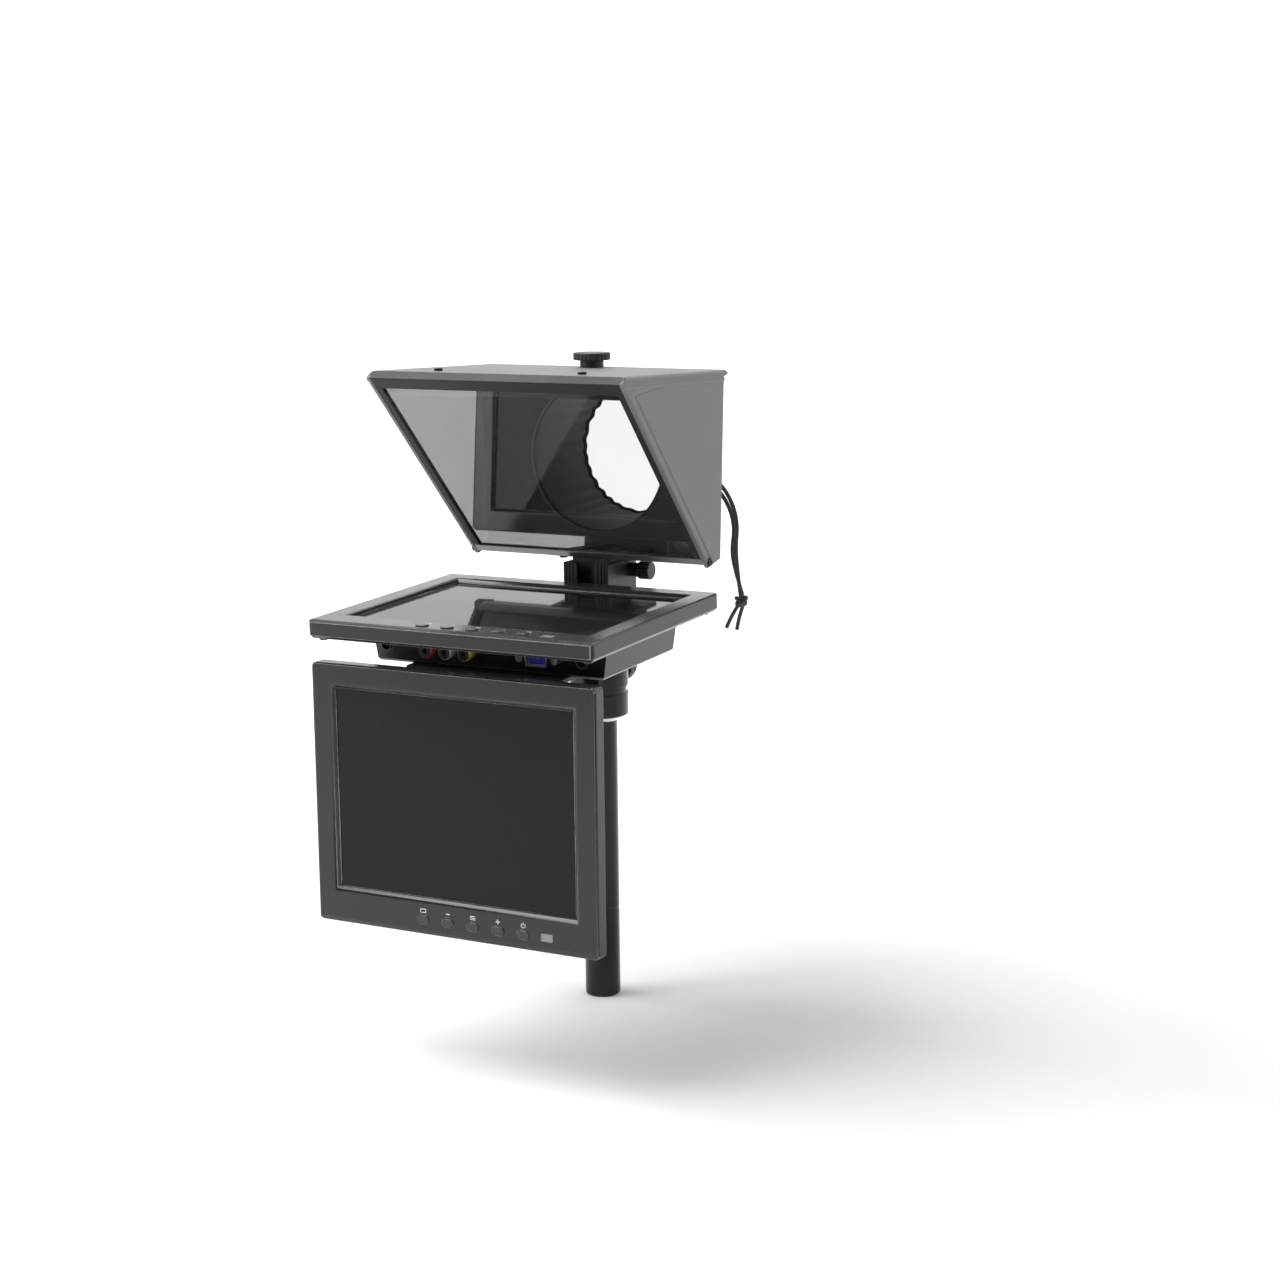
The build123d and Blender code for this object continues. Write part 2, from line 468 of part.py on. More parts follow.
def make_post():
    tube = rod(POST_R, (0, 0, 0), (0, 0, 1), POST_TOP)
    tube = chamfer(tube.faces().sort_by(Axis.Z)[0].edges(), 1.0)
    mark = rod(POST_R + 1, (0, 0, POST_MARK_Z), (0, 0, 1), POST_MARK_W)
    mark -= rod(POST_R - POST_MARK_D, (0, 0, POST_MARK_Z - 1), (0, 0, 1), POST_MARK_W + 2)
    return tube - mark - rod(POST_R - POST_WALL, (0, 0, -1), (0, 0, 1), POST_TOP + 2)


def make_post_plug():
    plug = rod(POST_R - POST_WALL, (0, 0, 0), (0, 0, 1), PLUG_DEPTH)
    return plug - rod(PLUG_BORE_R, (0, 0, PLUG_FLOOR), (0, 0, 1), PLUG_DEPTH)


def make_post_ring():
    ring = rod(RING_R, (0, 0, SLEEVE_LOW - RUN - RING_T), (0, 0, 1), RING_T)
    ring = chamfer(ring.edges(), 0.6)
    return ring - rod(POST_R, (0, 0, SLEEVE_LOW - 10), (0, 0, 1), 20)


def make_sleeve():
    body = rod(SLEEVE_R, (0, 0, SLEEVE_LOW), (0, 0, 1), TRAY_LOW - SLEEVE_LOW)
    body = chamfer(body.faces().sort_by(Axis.Z)[0].edges(), 1.0)
    body += rod(SLEEVE_FLANGE_R, (0, 0, TRAY_LOW), (0, 0, -1), SLEEVE_FLANGE_T)
    waist = rod(SLEEVE_R + 1, (0, 0, WAIST_Z), (0, 0, 1), WAIST_W)
    waist -= rod(SLEEVE_R - WAIST_DEPTH, (0, 0, WAIST_Z - 1), (0, 0, 1), WAIST_W + 2)
    body -= waist
    body -= rod(POST_R + RUN, (0, 0, SLEEVE_LOW - 1), (0, 0, 1),
                TRAY_LOW - SLEEVE_ROOF - SLEEVE_LOW + 1)
    body -= rod(STUD_R + RUN, (0, 0, RECEIVER_KNOB_Z), (0, 1, 0), SLEEVE_R + 1)
    for x, y in RECEIVER_SCREWS:
        body -= rod(M4_R + HOLE_CLEAR, (x, y, TRAY_LOW + 1), (0, 0, -1), SLEEVE_FLANGE_T + 2)
    for x, y in UPRIGHT_SCREWS:
        body -= rod(M4_R + HOLE_CLEAR, (x, y, TRAY_LOW + 1), (0, 0, -1), 7.0)
    return body


def make_receiver_knob():
    stud = SLEEVE_R - POST_R - 3 * RUN
    return Pos(0, SLEEVE_R + RUN, RECEIVER_KNOB_Z) * Rot(-90, 0, 0) * knob(
        KNOB_HEAD_R, KNOB_HEAD_T + 3, KNOB_NECK_R, KNOB_NECK_T, stud)


# ================================================================ tray and talent bracket
HANGER_BOLTS = [(sx * HANGER_BOLT_X, -(HANGER_Y + HANGER_FOOT / 2 + 1)) for sx in (-1, 1)]


def make_tray():
    y2, z2 = FRONT_BEND
    inner = flat_point(TRAY_REACH - TRAY_T, MONITOR_D + TRAY_T)
    side = [(TRAY_REAR_Y, TRAY_TOP), BEND, FRONT_BEND, (y2, z2 - TRAY_LIP),
            (inner[0], z2 - TRAY_LIP), inner,
            flat_point(TRAY_BEND, MONITOR_D + TRAY_T), (TRAY_REAR_Y, TRAY_LOW)]
    sheet = yz_prism(side, TRAY_HALF_FRONT)
    plan = Polygon((-TRAY_HALF_REAR, TRAY_REAR_Y), (-TRAY_HALF_REAR, BEND[0] + 8),
                   (-TRAY_HALF_FRONT, BEND[0] - 20), (-TRAY_HALF_FRONT, y2 - 1),
                   (TRAY_HALF_FRONT, y2 - 1), (TRAY_HALF_FRONT, BEND[0] - 20),
                   (TRAY_HALF_REAR, BEND[0] + 8), (TRAY_HALF_REAR, TRAY_REAR_Y), align=None)
    sheet &= Pos(0, 0, TRAY_TOP - 60) * extrude(plan, 120)
    for x, y in VESA_POINTS:
        sheet -= FLAT_PLACE * rod(M4_R + HOLE_CLEAR, (x, y, -MONITOR_D + 1), (0, 0, -1), TRAY_T + 2)
    for x, y in HANGER_BOLTS:
        sheet -= FLAT_PLACE * rod(M4_R + HOLE_CLEAR, (x, y, -MONITOR_D + 1), (0, 0, -1), TRAY_T + 2)
    for x, y in RECEIVER_SCREWS + UPRIGHT_SCREWS:
        sheet -= rod(M4_R + HOLE_CLEAR, (x, y, TRAY_TOP + 1), (0, 0, -1), TRAY_T + 2)
    return sheet


def make_hanger():
    """Bracket under the tray that carries the tilt hinge, built in the flat monitor's frame."""
    under = -MONITOR_D - TRAY_T
    foot = block(-HANGER_HALF, HANGER_HALF, -HANGER_Y - HANGER_FOOT, -HANGER_Y,
                 under - HANGER_T, under)
    leg = block(-HANGER_HALF, HANGER_HALF, -HANGER_Y - HANGER_T, -HANGER_Y,
                under - HANGER_DROP, under)
    shape = foot + leg
    for x, y in HANGER_BOLTS:
        shape -= rod(M4_R + HOLE_CLEAR, (x, y, under + 1), (0, 0, -1), HANGER_T + 2)
    for sx in (-1, 1):
        inner, outer = sx * EAR_IN, sx * EAR_OUT
        ear = rod(EAR_R, (inner, -HINGE_BACK, -HINGE_DOWN), (sx, 0, 0), EAR_OUT - EAR_IN)
        ear += block(min(inner, outer), max(inner, outer), -HINGE_BACK, -HANGER_Y - HANGER_T,
                     -HINGE_DOWN - EAR_R, -HINGE_DOWN + EAR_R)
        shape += ear
    shape -= rod(PIN_R, (-40, -HINGE_BACK, -HINGE_DOWN), (1, 0, 0), 80)
    return FLAT_PLACE * shape


HINGE_Y, HINGE_Z = flat_point(HINGE_BACK, HINGE_DOWN)


def make_tilt_plate():
    """Plate on the talent monitor's back with the knuckle that turns on the hinge pin."""
    back_y = TALENT_FACE_Y + MONITOR_D
    mid_z = TALENT_TOP_Z + VESA_MID_Y
    plate = block(-VESA_PLATE_HALF, VESA_PLATE_HALF, back_y, back_y + VESA_PLATE_T,
                  mid_z - VESA_PLATE_HALF, mid_z + VESA_PLATE_HALF)
    plate = fillet(plate.edges().filter_by(Axis.Y), VESA_PLATE_R)
    for x, y in VESA_POINTS:
        plate -= rod(M4_R + HOLE_CLEAR, (x, back_y - 1, TALENT_TOP_Z + y), (0, 1, 0),
                     VESA_PLATE_T + 2)
    half = EAR_IN - GAP
    arm = block(-half, half, back_y + VESA_PLATE_T / 2, HINGE_Y, HINGE_Z - EAR_R, HINGE_Z + EAR_R)
    arm += rod(EAR_R, (-half, HINGE_Y, HINGE_Z), (1, 0, 0), 2 * half)
    arm -= rod(PIN_R + RUN, (-40, HINGE_Y, HINGE_Z), (1, 0, 0), 80)
    return plate + arm


def make_tilt_pin():
    pin = rod(PIN_R, (-EAR_OUT - 0.5, HINGE_Y, HINGE_Z), (1, 0, 0), 2 * EAR_OUT + 1)
    for sx in (-1, 1):
        head = rod(PIN_HEAD_R, (sx * EAR_OUT, HINGE_Y, HINGE_Z), (sx, 0, 0), PIN_HEAD_T)
        pin += chamfer(head.edges(), 0.5)
    return pin


# ================================================================ upright and hood stem
def make_upright():
    wall = UPRIGHT_WALL
    column = block(-UPRIGHT_HALF, UPRIGHT_HALF, UPRIGHT_FRONT, UPRIGHT_REAR, TRAY_TOP, UPRIGHT_TOP)
    column -= block(-UPRIGHT_HALF + wall, UPRIGHT_HALF - wall, UPRIGHT_FRONT + wall,
                    UPRIGHT_REAR - wall, TRAY_TOP + UPRIGHT_FOOT_T, UPRIGHT_TOP + 1)
    slot = UPRIGHT_HALF - UPRIGHT_LIP
    column -= block(-slot, slot, UPRIGHT_FRONT - 1, UPRIGHT_FRONT + wall,
                    TRAY_TOP + UPRIGHT_FOOT_T, UPRIGHT_TOP + 1)
    for sx in (-1, 1):
        for x in RIDGE_X:
            mid = sx * (slot + x)
            column -= block(mid - RIDGE_W / 2, mid + RIDGE_W / 2, UPRIGHT_FRONT - 1,
                            UPRIGHT_FRONT + RIDGE_D, TRAY_TOP - 1, UPRIGHT_TOP + 1)
    column += rod(SIDE_KNOB_BOSS_R, (UPRIGHT_HALF - 1, SLIDE_KNOB_Y, SLIDE_KNOB_Z), (1, 0, 0),
                  SLIDE_BOSS_T + 1)
    column -= rod(STUD_R + RUN, (0, SLIDE_KNOB_Y, SLIDE_KNOB_Z), (1, 0, 0), 60)
    column -= block(-UPRIGHT_HALF + wall, UPRIGHT_HALF - wall, SLIDE_KNOB_Y - STUD_CLEAR,
                    UPRIGHT_REAR - wall, SLIDE_KNOB_Z - STUD_CLEAR, UPRIGHT_TOP + 1)
    for x, y in UPRIGHT_SCREWS:
        column -= rod(M4_R + HOLE_CLEAR, (x, y, TRAY_TOP - 1), (0, 0, 1), UPRIGHT_FOOT_T + 2)
    return column


def make_slide_knob():
    reach = UPRIGHT_HALF + SLIDE_BOSS_T
    stem_side = UPRIGHT_HALF - UPRIGHT_WALL - GAP
    turned = knob(SIDE_KNOB_R, SIDE_KNOB_T, SIDE_KNOB_R, 0, reach - stem_side - GAP + RUN, 16)
    return Pos(reach + RUN, SLIDE_KNOB_Y, SLIDE_KNOB_Z) * Rot(0, 90, 0) * turned


def make_base_screws():
    group = []
    for x, y in RECEIVER_SCREWS:
        group.append(Pos(x, y, TRAY_TOP) * cap_screw(M4_R, M4_HEAD_R, M4_HEAD_H,
                                                    TRAY_T + SLEEVE_FLANGE_T))
    for x, y in UPRIGHT_SCREWS:
        group.append(Pos(x, y, TRAY_TOP + UPRIGHT_FOOT_T) * cap_screw(
            M4_R, M4_HEAD_R, M4_HEAD_H, UPRIGHT_FOOT_T + TRAY_T + UPRIGHT_SCREW_DEPTH))
    for x, y in HANGER_BOLTS:
        bolt = cap_screw(M4_R, M4_HEAD_R, M4_HEAD_H, HANGER_T + TRAY_T)
        group.append(FLAT_PLACE * Pos(x, y, -MONITOR_D - TRAY_T - HANGER_T) * Rot(180, 0, 0) * bolt)
    return Compound(children=[s.solids()[0] for s in group])


# ================================================================ hood
RIM_RUN = (CHEEK_TIP[0] - NOSE[0], CHEEK_TIP[1] - NOSE[1])
RIM_LEN = math.hypot(*RIM_RUN)
RIM_DIR = (RIM_RUN[0] / RIM_LEN, RIM_RUN[1] / RIM_LEN)
INWARD = (-RIM_DIR[1], RIM_DIR[0])
ROOF_FALL = (NOSE_TOP[1] - ROOF_REAR[1]) / (ROOF_REAR[0] - NOSE_TOP[0])
SHELL_TOP_Z = NOSE_TOP[1]


def roof_z(y, under=0.0):
    """Height of the roof's outer face above a point, or of a face that lies under it."""
    return NOSE_TOP[1] - (y - NOSE_TOP[0]) * ROOF_FALL - under


def rim_point(z, depth=0.0):
    """Point at height z on a plane parallel to the sloped rim, some depth behind it."""
    y0, z0 = NOSE[0] + INWARD[0] * depth, NOSE[1] + INWARD[1] * depth
    return (y0 + (z - z0) * RIM_DIR[0] / RIM_DIR[1], z)


def half_at(z, inset=0.0):
    """Half the hood's width at a height, less an inset from its outer face."""
    share = (z - CHEEK_TIP[1]) / (SHELL_TOP_Z - CHEEK_TIP[1])
    return HOOD_HALF_LOW + (HOOD_HALF_TOP - HOOD_HALF_LOW) * share - inset


def between_cheeks(shape, inset):
    """Keep what lies between two planes parallel to the hood's cheeks."""
    low, high = CHEEK_TIP[1] - 40, SHELL_TOP_Z + 40
    slab = xz_prism([(-half_at(low, inset), low), (half_at(low, inset), low),
                     (half_at(high, inset), high), (-half_at(high, inset), high)], -220, 220)
    return shape & slab


def make_hood_shell():
    outline = [NOSE, NOSE_TOP, ROOF_REAR, (ROOF_REAR[0], ROOF_REAR[1] - HOOD_WALL),
               (CHEEK_REAR[0], roof_z(CHEEK_REAR[0], HOOD_WALL)), CHEEK_REAR, CHEEK_TIP]
    outer = between_cheeks(yz_prism(outline, 2 * HOOD_HALF_TOP), 0.0)
    rails = [e for e in outer.edges() if abs(e.center().X) > HOOD_HALF_LOW
             and e.center().Z > NOSE[1] and e.length > 100]
    outer = fillet(rails, ROOF_EDGE_R)
    for sx in (-1, 1):
        x0, y0 = sx * (half_at(ROOF_REAR[1]) - ROOF_CORNER_R), ROOF_REAR[0] - ROOF_CORNER_R
        x1 = x0 + sx * (ROOF_CORNER_R + 2)
        corner = block(min(x0, x1), max(x0, x1), y0, y0 + ROOF_CORNER_R + 2,
                       CHEEK_REAR[1], SHELL_TOP_Z + 1)
        outer -= corner - rod(ROOF_CORNER_R, (x0, y0, CHEEK_REAR[1] - 1), (0, 0, 1), 200)
    nose_rear = NOSE[0] + NOSE_T
    cavity = [(-300, NOSE[1]), (nose_rear, NOSE[1]), (nose_rear, roof_z(nose_rear, HOOD_WALL)),
              (60, roof_z(60, HOOD_WALL)), (60, 200), (-300, 200)]
    shell = outer - between_cheeks(yz_prism(cavity, 2 * HOOD_HALF_TOP), HOOD_WALL)
    for sx in (-1, 1):
        shell -= rod(M3_R + HOLE_CLEAR, (sx * TOP_SCREW_X, TOP_SCREW_Y, SHELL_TOP_Z + 5),
                     (0, 0, -1), 14)
        shell -= rod(M3_R + HOLE_CLEAR, (sx * (HOOD_HALF_LOW - 8), LEDGE_SCREW_Y, LEDGE_SCREW_Z),
                     (sx, 0, 0), 20)
    return shell - rod(STUD_R + RUN, (0, HOOD_KNOB_Y, SHELL_TOP_Z + 5), (0, 0, -1), 14)


def sloped_slab(depth, thickness, low_z, high_z):
    """Slab parallel to the sloped rim, cut level at both ends."""
    return yz_prism([rim_point(low_z, depth), rim_point(high_z, depth),
                     rim_point(high_z, depth + thickness), rim_point(low_z, depth + thickness)],
                    HOOD_HALF_TOP)


def make_glass():
    return between_cheeks(sloped_slab(SEAL_T, GLASS_T, LEDGE_TOP, GLASS_TOP_Z), HOOD_WALL + GAP)


def make_seal():
    """Rubber strip round the glass on three sides, between it and the rim."""
    frame = between_cheeks(sloped_slab(0, SEAL_T, LEDGE_TOP, NOSE[1]), HOOD_WALL)
    window = sloped_slab(-1, SEAL_T + 2, LEDGE_TOP - 20, NOSE[1] - SEAL_TOP_W)
    return frame - between_cheeks(window, HOOD_WALL + SEAL_W)


def make_ledge():
    low = LEDGE_TOP - LEDGE_T
    bar = yz_prism([rim_point(low, LEDGE_SETBACK), rim_point(LEDGE_TOP, LEDGE_SETBACK),
                    (LEDGE_REAR_Y, LEDGE_TOP), (LEDGE_REAR_Y, low)], HOOD_HALF_TOP)
    bar = between_cheeks(bar, HOOD_WALL)
    for sx in (-1, 1):
        bar -= rod(M3_R + HOLE_CLEAR, (sx * (HOOD_HALF_LOW - 10), LEDGE_SCREW_Y, LEDGE_SCREW_Z),
                   (sx, 0, 0), 20)
    return bar


def make_retainer():
    """Bar under the roof that the top edge of the glass leans on."""
    y0, _ = rim_point(RETAINER_LOW, SEAL_T + GLASS_T)
    front = rim_point(roof_z(NOSE[0] + NOSE_T, HOOD_WALL) - RETAINER_GAP, SEAL_T + GLASS_T)
    rear_y = y0 + RETAINER_T
    bar = yz_prism([(y0, RETAINER_LOW), front, (front[0], roof_z(front[0], HOOD_WALL)),
                    (rear_y, roof_z(rear_y, HOOD_WALL)), (rear_y, RETAINER_LOW)], HOOD_HALF_TOP)
    bar = between_cheeks(bar, HOOD_WALL + GAP)
    for sx in (-1, 1):
        bar -= rod(M3_R + HOLE_CLEAR, (sx * TOP_SCREW_X, TOP_SCREW_Y, SHELL_TOP_Z + 5),
                   (0, 0, -1), RETAINER_HOLE_L)
    return bar


STEM_HEAD_TOP = STEM_HEAD_LOW + STEM_HEAD_T


def make_back_plate():
    top = HOOD_WALL
    low = STEM_HEAD_TOP
    sheet = [(PLATE_T, roof_z(PLATE_T, top)), (-PLATE_FLANGE, roof_z(-PLATE_FLANGE, top)),
             (-PLATE_FLANGE, roof_z(-PLATE_FLANGE, top + PLATE_T)), (0, roof_z(0, top + PLATE_T)),
             (0, low + PLATE_T), (LOW_FLANGE_Y, low + PLATE_T), (LOW_FLANGE_Y, low),
             (PLATE_T, low)]
    plate = between_cheeks(yz_prism(sheet, HOOD_HALF_TOP), HOOD_WALL + GAP)
    plate -= rod(PLATE_HOLE_R, (0, -10, LENS_Z), (0, 1, 0), 30)
    plate -= rod(STUD_R + RUN, (0, HOOD_KNOB_Y, SHELL_TOP_Z), (0, 0, -1), 20)
    for x, z in RING_SCREWS:
        plate -= rod(M3_R + HOLE_CLEAR, (x, -5, z), (0, 1, 0), 15)
    for sx in (-1, 1):
        plate -= rod(M3_R + HOLE_CLEAR, (sx * STEM_SCREW_X, STEM_SCREW_Y, low - 1), (0, 0, 1), 6)
    return plate


def make_stem():
    wall = STEM_WALL
    half = UPRIGHT_HALF - UPRIGHT_WALL - GAP
    rear = UPRIGHT_REAR - UPRIGHT_WALL - GAP
    bar = block(-half, half, STEM_FRONT, rear, STEM_LOW, STEM_HEAD_LOW)
    bar -= block(-half + wall, half - wall, STEM_FRONT + wall, rear - wall,
                 STEM_LOW - 1, STEM_HEAD_LOW)
    head = block(-STEM_HEAD_HALF, STEM_HEAD_HALF, LEDGE_REAR_Y, STEM_HEAD_REAR,
                 STEM_HEAD_LOW, STEM_HEAD_TOP)
    for sx in (-1, 1):
        head -= rod(M3_R + HOLE_CLEAR, (sx * STEM_SCREW_X, STEM_SCREW_Y, STEM_HEAD_LOW - 1),
                    (0, 0, 1), 6)
    return bar + head


def make_hood_knob():
    seat = roof_z(HOOD_KNOB_Y - KNOB_NECK_R) + RUN
    turned = knob(KNOB_HEAD_R, KNOB_HEAD_T, KNOB_NECK_R, KNOB_NECK_T, HOOD_STUD_L)
    return Pos(0, HOOD_KNOB_Y, seat) * turned


def make_hood_screws():
    group = []
    for sx in (-1, 1):
        x, y = sx * TOP_SCREW_X, TOP_SCREW_Y
        seat = roof_z(y - M3_HEAD_R)
        group.append(Pos(x, y, seat) * cap_screw(M3_R, M3_HEAD_R, M3_HEAD_H, TOP_SCREW_L))
        side = half_at(LEDGE_SCREW_Z + M3_HEAD_R)
        group.append(Pos(sx * side, LEDGE_SCREW_Y, LEDGE_SCREW_Z) * Rot(0, sx * 90, 0)
                     * cap_screw(M3_R, M3_HEAD_R, M3_HEAD_H, LEDGE_SCREW_L))
        group.append(Pos(sx * STEM_SCREW_X, STEM_SCREW_Y, STEM_HEAD_LOW) * Rot(180, 0, 0)
                     * cap_screw(M3_R, M3_HEAD_R, M3_HEAD_H, STEM_HEAD_T + PLATE_T))
    return Compound(children=[s.solids()[0] for s in group])


# ================================================================ shroud, ring and cord
RING_SCREW_R = (SHROUD_FLANGE_R + SHROUD_MOUTH_R + 2) / 2
RING_SCREWS = [(RING_SCREW_R * math.cos(math.radians(a)),
                LENS_Z + RING_SCREW_R * math.sin(math.radians(a)))
               for a in [30 + 360 / RING_SCREW_COUNT * k for k in range(RING_SCREW_COUNT)]]
FLANGE_Y = PLATE_T + FABRIC_T


def turned_about_lens(points):
    """Solid of revolution about the lens axis from radius and depth pairs."""
    face = Plane.XY * Polygon(*points, align=None)
    return Pos(0, 0, LENS_Z) * revolve(face, Axis.Y)


def make_shroud():
    mouth, hem = SHROUD_MOUTH_R, SHROUD_HEM_R
    hem_end = SHROUD_HEM_Y + SHROUD_HEM_L
    shape = turned_about_lens([
        (mouth, PLATE_T), (SHROUD_FLANGE_R, PLATE_T), (SHROUD_FLANGE_R, FLANGE_Y),
        (mouth + SHROUD_STEP, FLANGE_Y), (hem + HEM_STEP, SHROUD_HEM_Y),
        (hem + SHROUD_HEM_T, SHROUD_HEM_Y + SHROUD_HEM_ROUND),
        (hem + SHROUD_HEM_T, hem_end - SHROUD_HEM_ROUND),
        (hem + SHROUD_HEM_T - SHROUD_HEM_ROUND, hem_end), (hem + SHROUD_HEM_ROUND / 2, hem_end),
        (hem, hem_end - SHROUD_HEM_ROUND), (hem + SHROUD_HEM_ROUND / 2, SHROUD_HEM_Y)])
    for x, z in RING_SCREWS:
        shape -= rod(M3_R + HOLE_CLEAR, (x, 0, z), (0, 1, 0), 8)
    return shape


def make_clamp_ring():
    inner = SHROUD_MOUTH_R + SHROUD_STEP + GAP
    ring = turned_about_lens([(inner, FLANGE_Y), (SHROUD_FLANGE_R, FLANGE_Y),
                              (SHROUD_FLANGE_R, FLANGE_Y + CLAMP_RING_T),
                              (inner, FLANGE_Y + CLAMP_RING_T)])
    for x, z in RING_SCREWS:
        ring -= rod(M3_R + HOLE_CLEAR, (x, 0, z), (0, 1, 0), 12)
    return ring


def make_ring_screws():
    screw = cap_screw(M3_R, M3_HEAD_R, M3_HEAD_H, CLAMP_RING_T + FABRIC_T + PLATE_T)
    return Compound(children=[(Pos(x, FLANGE_Y + CLAMP_RING_T, z) * Rot(-90, 0, 0)
                               * screw).solids()[0] for x, z in RING_SCREWS])


def cord_tube(name, points, radius):
    """Tube of straight runs and the largest tangent arcs that they allow."""
    pts = [Vector(*p) for p in points]
    radii = []
    for a, b, c in zip(pts, pts[1:], pts[2:]):
        half_turn = math.radians((b - a).get_angle(c - b)) / 2
        radii.append(0.45 * min((b - a).length, (c - b).length) / math.tan(half_turn))
    path = FilletPolyline(*pts, radius=radii)
    tube = sweep(Plane(origin=path @ 0, z_dir=path % 0) * Circle(radius), path)
    expected = math.pi * radius ** 2 * path.length
    print(name, "length", round(path.length, 1), "radii", [round(r, 1) for r in radii],
          "volume", round(tube.volume, 1), "expected", round(expected, 1))
    return tube


def make_knot():
    """Overhand knot as one closed lump, with flats where the strands run into it."""
    x, y, z = KNOT_CENTRE
    a, b, c = KNOT_HALF
    return fillet(block(x - a, x + a, y - b, y + b, z - c, z + c).edges(), KNOT_ROUND)


def make_tails():
    tubes = [cord_tube(f"tail_{k}", pts, CORD_R) for k, pts in enumerate(TAIL_DROPS)]
    return Compound(children=[t.solids()[0] for t in tubes])


# ================================================================ write every node
save_monitor("flat", FLAT_PLACE, TRAY_T)
save_monitor("talent", TALENT_PLACE, VESA_PLATE_T)
save("post_tube", make_post())
save("post_end_plug", make_post_plug())
save("post_ring", make_post_ring())
save("receiver_sleeve", make_sleeve())
save("receiver_knob", make_receiver_knob())
save("base_screws", make_base_screws())
save("tray_plate", make_tray())
save("talent_hanger", make_hanger())
save("tilt_plate", make_tilt_plate())
save("tilt_pin", make_tilt_pin())
save("upright_channel", make_upright())
save("slide_knob", make_slide_knob())
save("hood_stem", make_stem())
save("hood_shell", make_hood_shell())
save("hood_back_plate", make_back_plate())
save("beamsplitter_glass", make_glass())
save("glass_seal", make_seal())
save("glass_ledge", make_ledge())
save("glass_retainer", make_retainer())
save("hood_screws", make_hood_screws())
save("hood_knob", make_hood_knob())
save("shroud_clamp_ring", make_clamp_ring())
save("shroud_ring_screws", make_ring_screws())
save("lens_shroud", make_shroud())
save("draw_cord_a", cord_tube("draw_cord_a", CORD_A, CORD_R))
save("draw_cord_b", cord_tube("draw_cord_b", CORD_B, CORD_R))
save("cord_knot", make_knot())
save("cord_tails", make_tails())
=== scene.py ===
# %% [markdown]
# # A teleprompter, finished in Blender
# A teleprompter is a box of reflections. A flat monitor lies face up, a half-silvered glass leans
# over it at about 45 degrees, and the presenter reads the reflection while the camera looks
# through the same glass. The CAD frame gives every bracket, monitor and joint in its true place.
# This file adds what the eye judges it by: moulded edges, real glass, cloth, braid and finishes.

# %% Load the frame
import json
import math

import bmesh
import bpy
from mathutils import Matrix, Vector


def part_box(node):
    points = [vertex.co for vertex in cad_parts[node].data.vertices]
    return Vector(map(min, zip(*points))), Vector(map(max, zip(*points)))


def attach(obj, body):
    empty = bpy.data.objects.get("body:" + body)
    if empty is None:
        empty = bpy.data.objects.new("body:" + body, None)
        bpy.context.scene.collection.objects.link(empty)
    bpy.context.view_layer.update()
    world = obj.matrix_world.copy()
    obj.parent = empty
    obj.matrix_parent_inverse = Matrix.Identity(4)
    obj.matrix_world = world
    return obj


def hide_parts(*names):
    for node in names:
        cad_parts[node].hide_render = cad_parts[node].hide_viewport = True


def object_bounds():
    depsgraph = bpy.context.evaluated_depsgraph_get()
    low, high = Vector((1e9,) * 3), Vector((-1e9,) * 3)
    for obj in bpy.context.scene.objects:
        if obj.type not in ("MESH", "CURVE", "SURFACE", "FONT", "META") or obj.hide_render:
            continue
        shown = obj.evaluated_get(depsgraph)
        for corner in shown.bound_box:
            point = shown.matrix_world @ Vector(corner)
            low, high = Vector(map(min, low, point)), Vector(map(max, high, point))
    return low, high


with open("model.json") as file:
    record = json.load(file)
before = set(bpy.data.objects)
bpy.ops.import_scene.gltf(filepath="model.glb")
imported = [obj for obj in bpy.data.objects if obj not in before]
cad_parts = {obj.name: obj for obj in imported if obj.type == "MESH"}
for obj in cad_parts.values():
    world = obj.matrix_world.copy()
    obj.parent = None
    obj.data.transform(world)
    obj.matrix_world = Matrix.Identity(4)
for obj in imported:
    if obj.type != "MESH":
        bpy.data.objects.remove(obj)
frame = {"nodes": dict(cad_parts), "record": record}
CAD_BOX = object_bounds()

MM = 0.001                     # one millimetre in scene units
nodes = frame["nodes"]
SLOT_OF = {part["node"]: part["material_slot"] for part in frame["record"]["subparts"]}
BODY_OF = {n: body for body, group in frame["record"]["behaviour"]["bodies"].items() for n in group}

# %% [markdown]
# ## The camera
# The camera is built from its three axes in place of Euler angles, because a hand-held picture
# also leans a little to one side. Right, up and back are unit vectors, and they are the columns
# of the camera's matrix. A lens longer than 50 mm keeps the parallel edges of the two monitors
# nearly parallel in the picture.

# %% Camera
CAMERA_PLACE = Vector((0.78206, -1.3986, 0.5319))
CAMERA_AZIMUTH, CAMERA_ELEVATION, CAMERA_ROLL = 28.215, 10.104, -0.586   # degrees
CAMERA_LENS_MM, SENSOR_WIDTH_MM = 68.05, 36.0


def camera_axes(azimuth, elevation, roll):
    """Right, up and back vectors of a camera that looks down its own -Z axis."""
    a, e, r = (math.radians(v) for v in (azimuth, elevation, roll))
    back = Vector((math.sin(a) * math.cos(e), -math.cos(a) * math.cos(e), math.sin(e)))
    level = Vector((math.cos(a), math.sin(a), 0.0))
    steep = back.cross(level)
    right = math.cos(r) * level + math.sin(r) * steep
    return right, back.cross(right), back


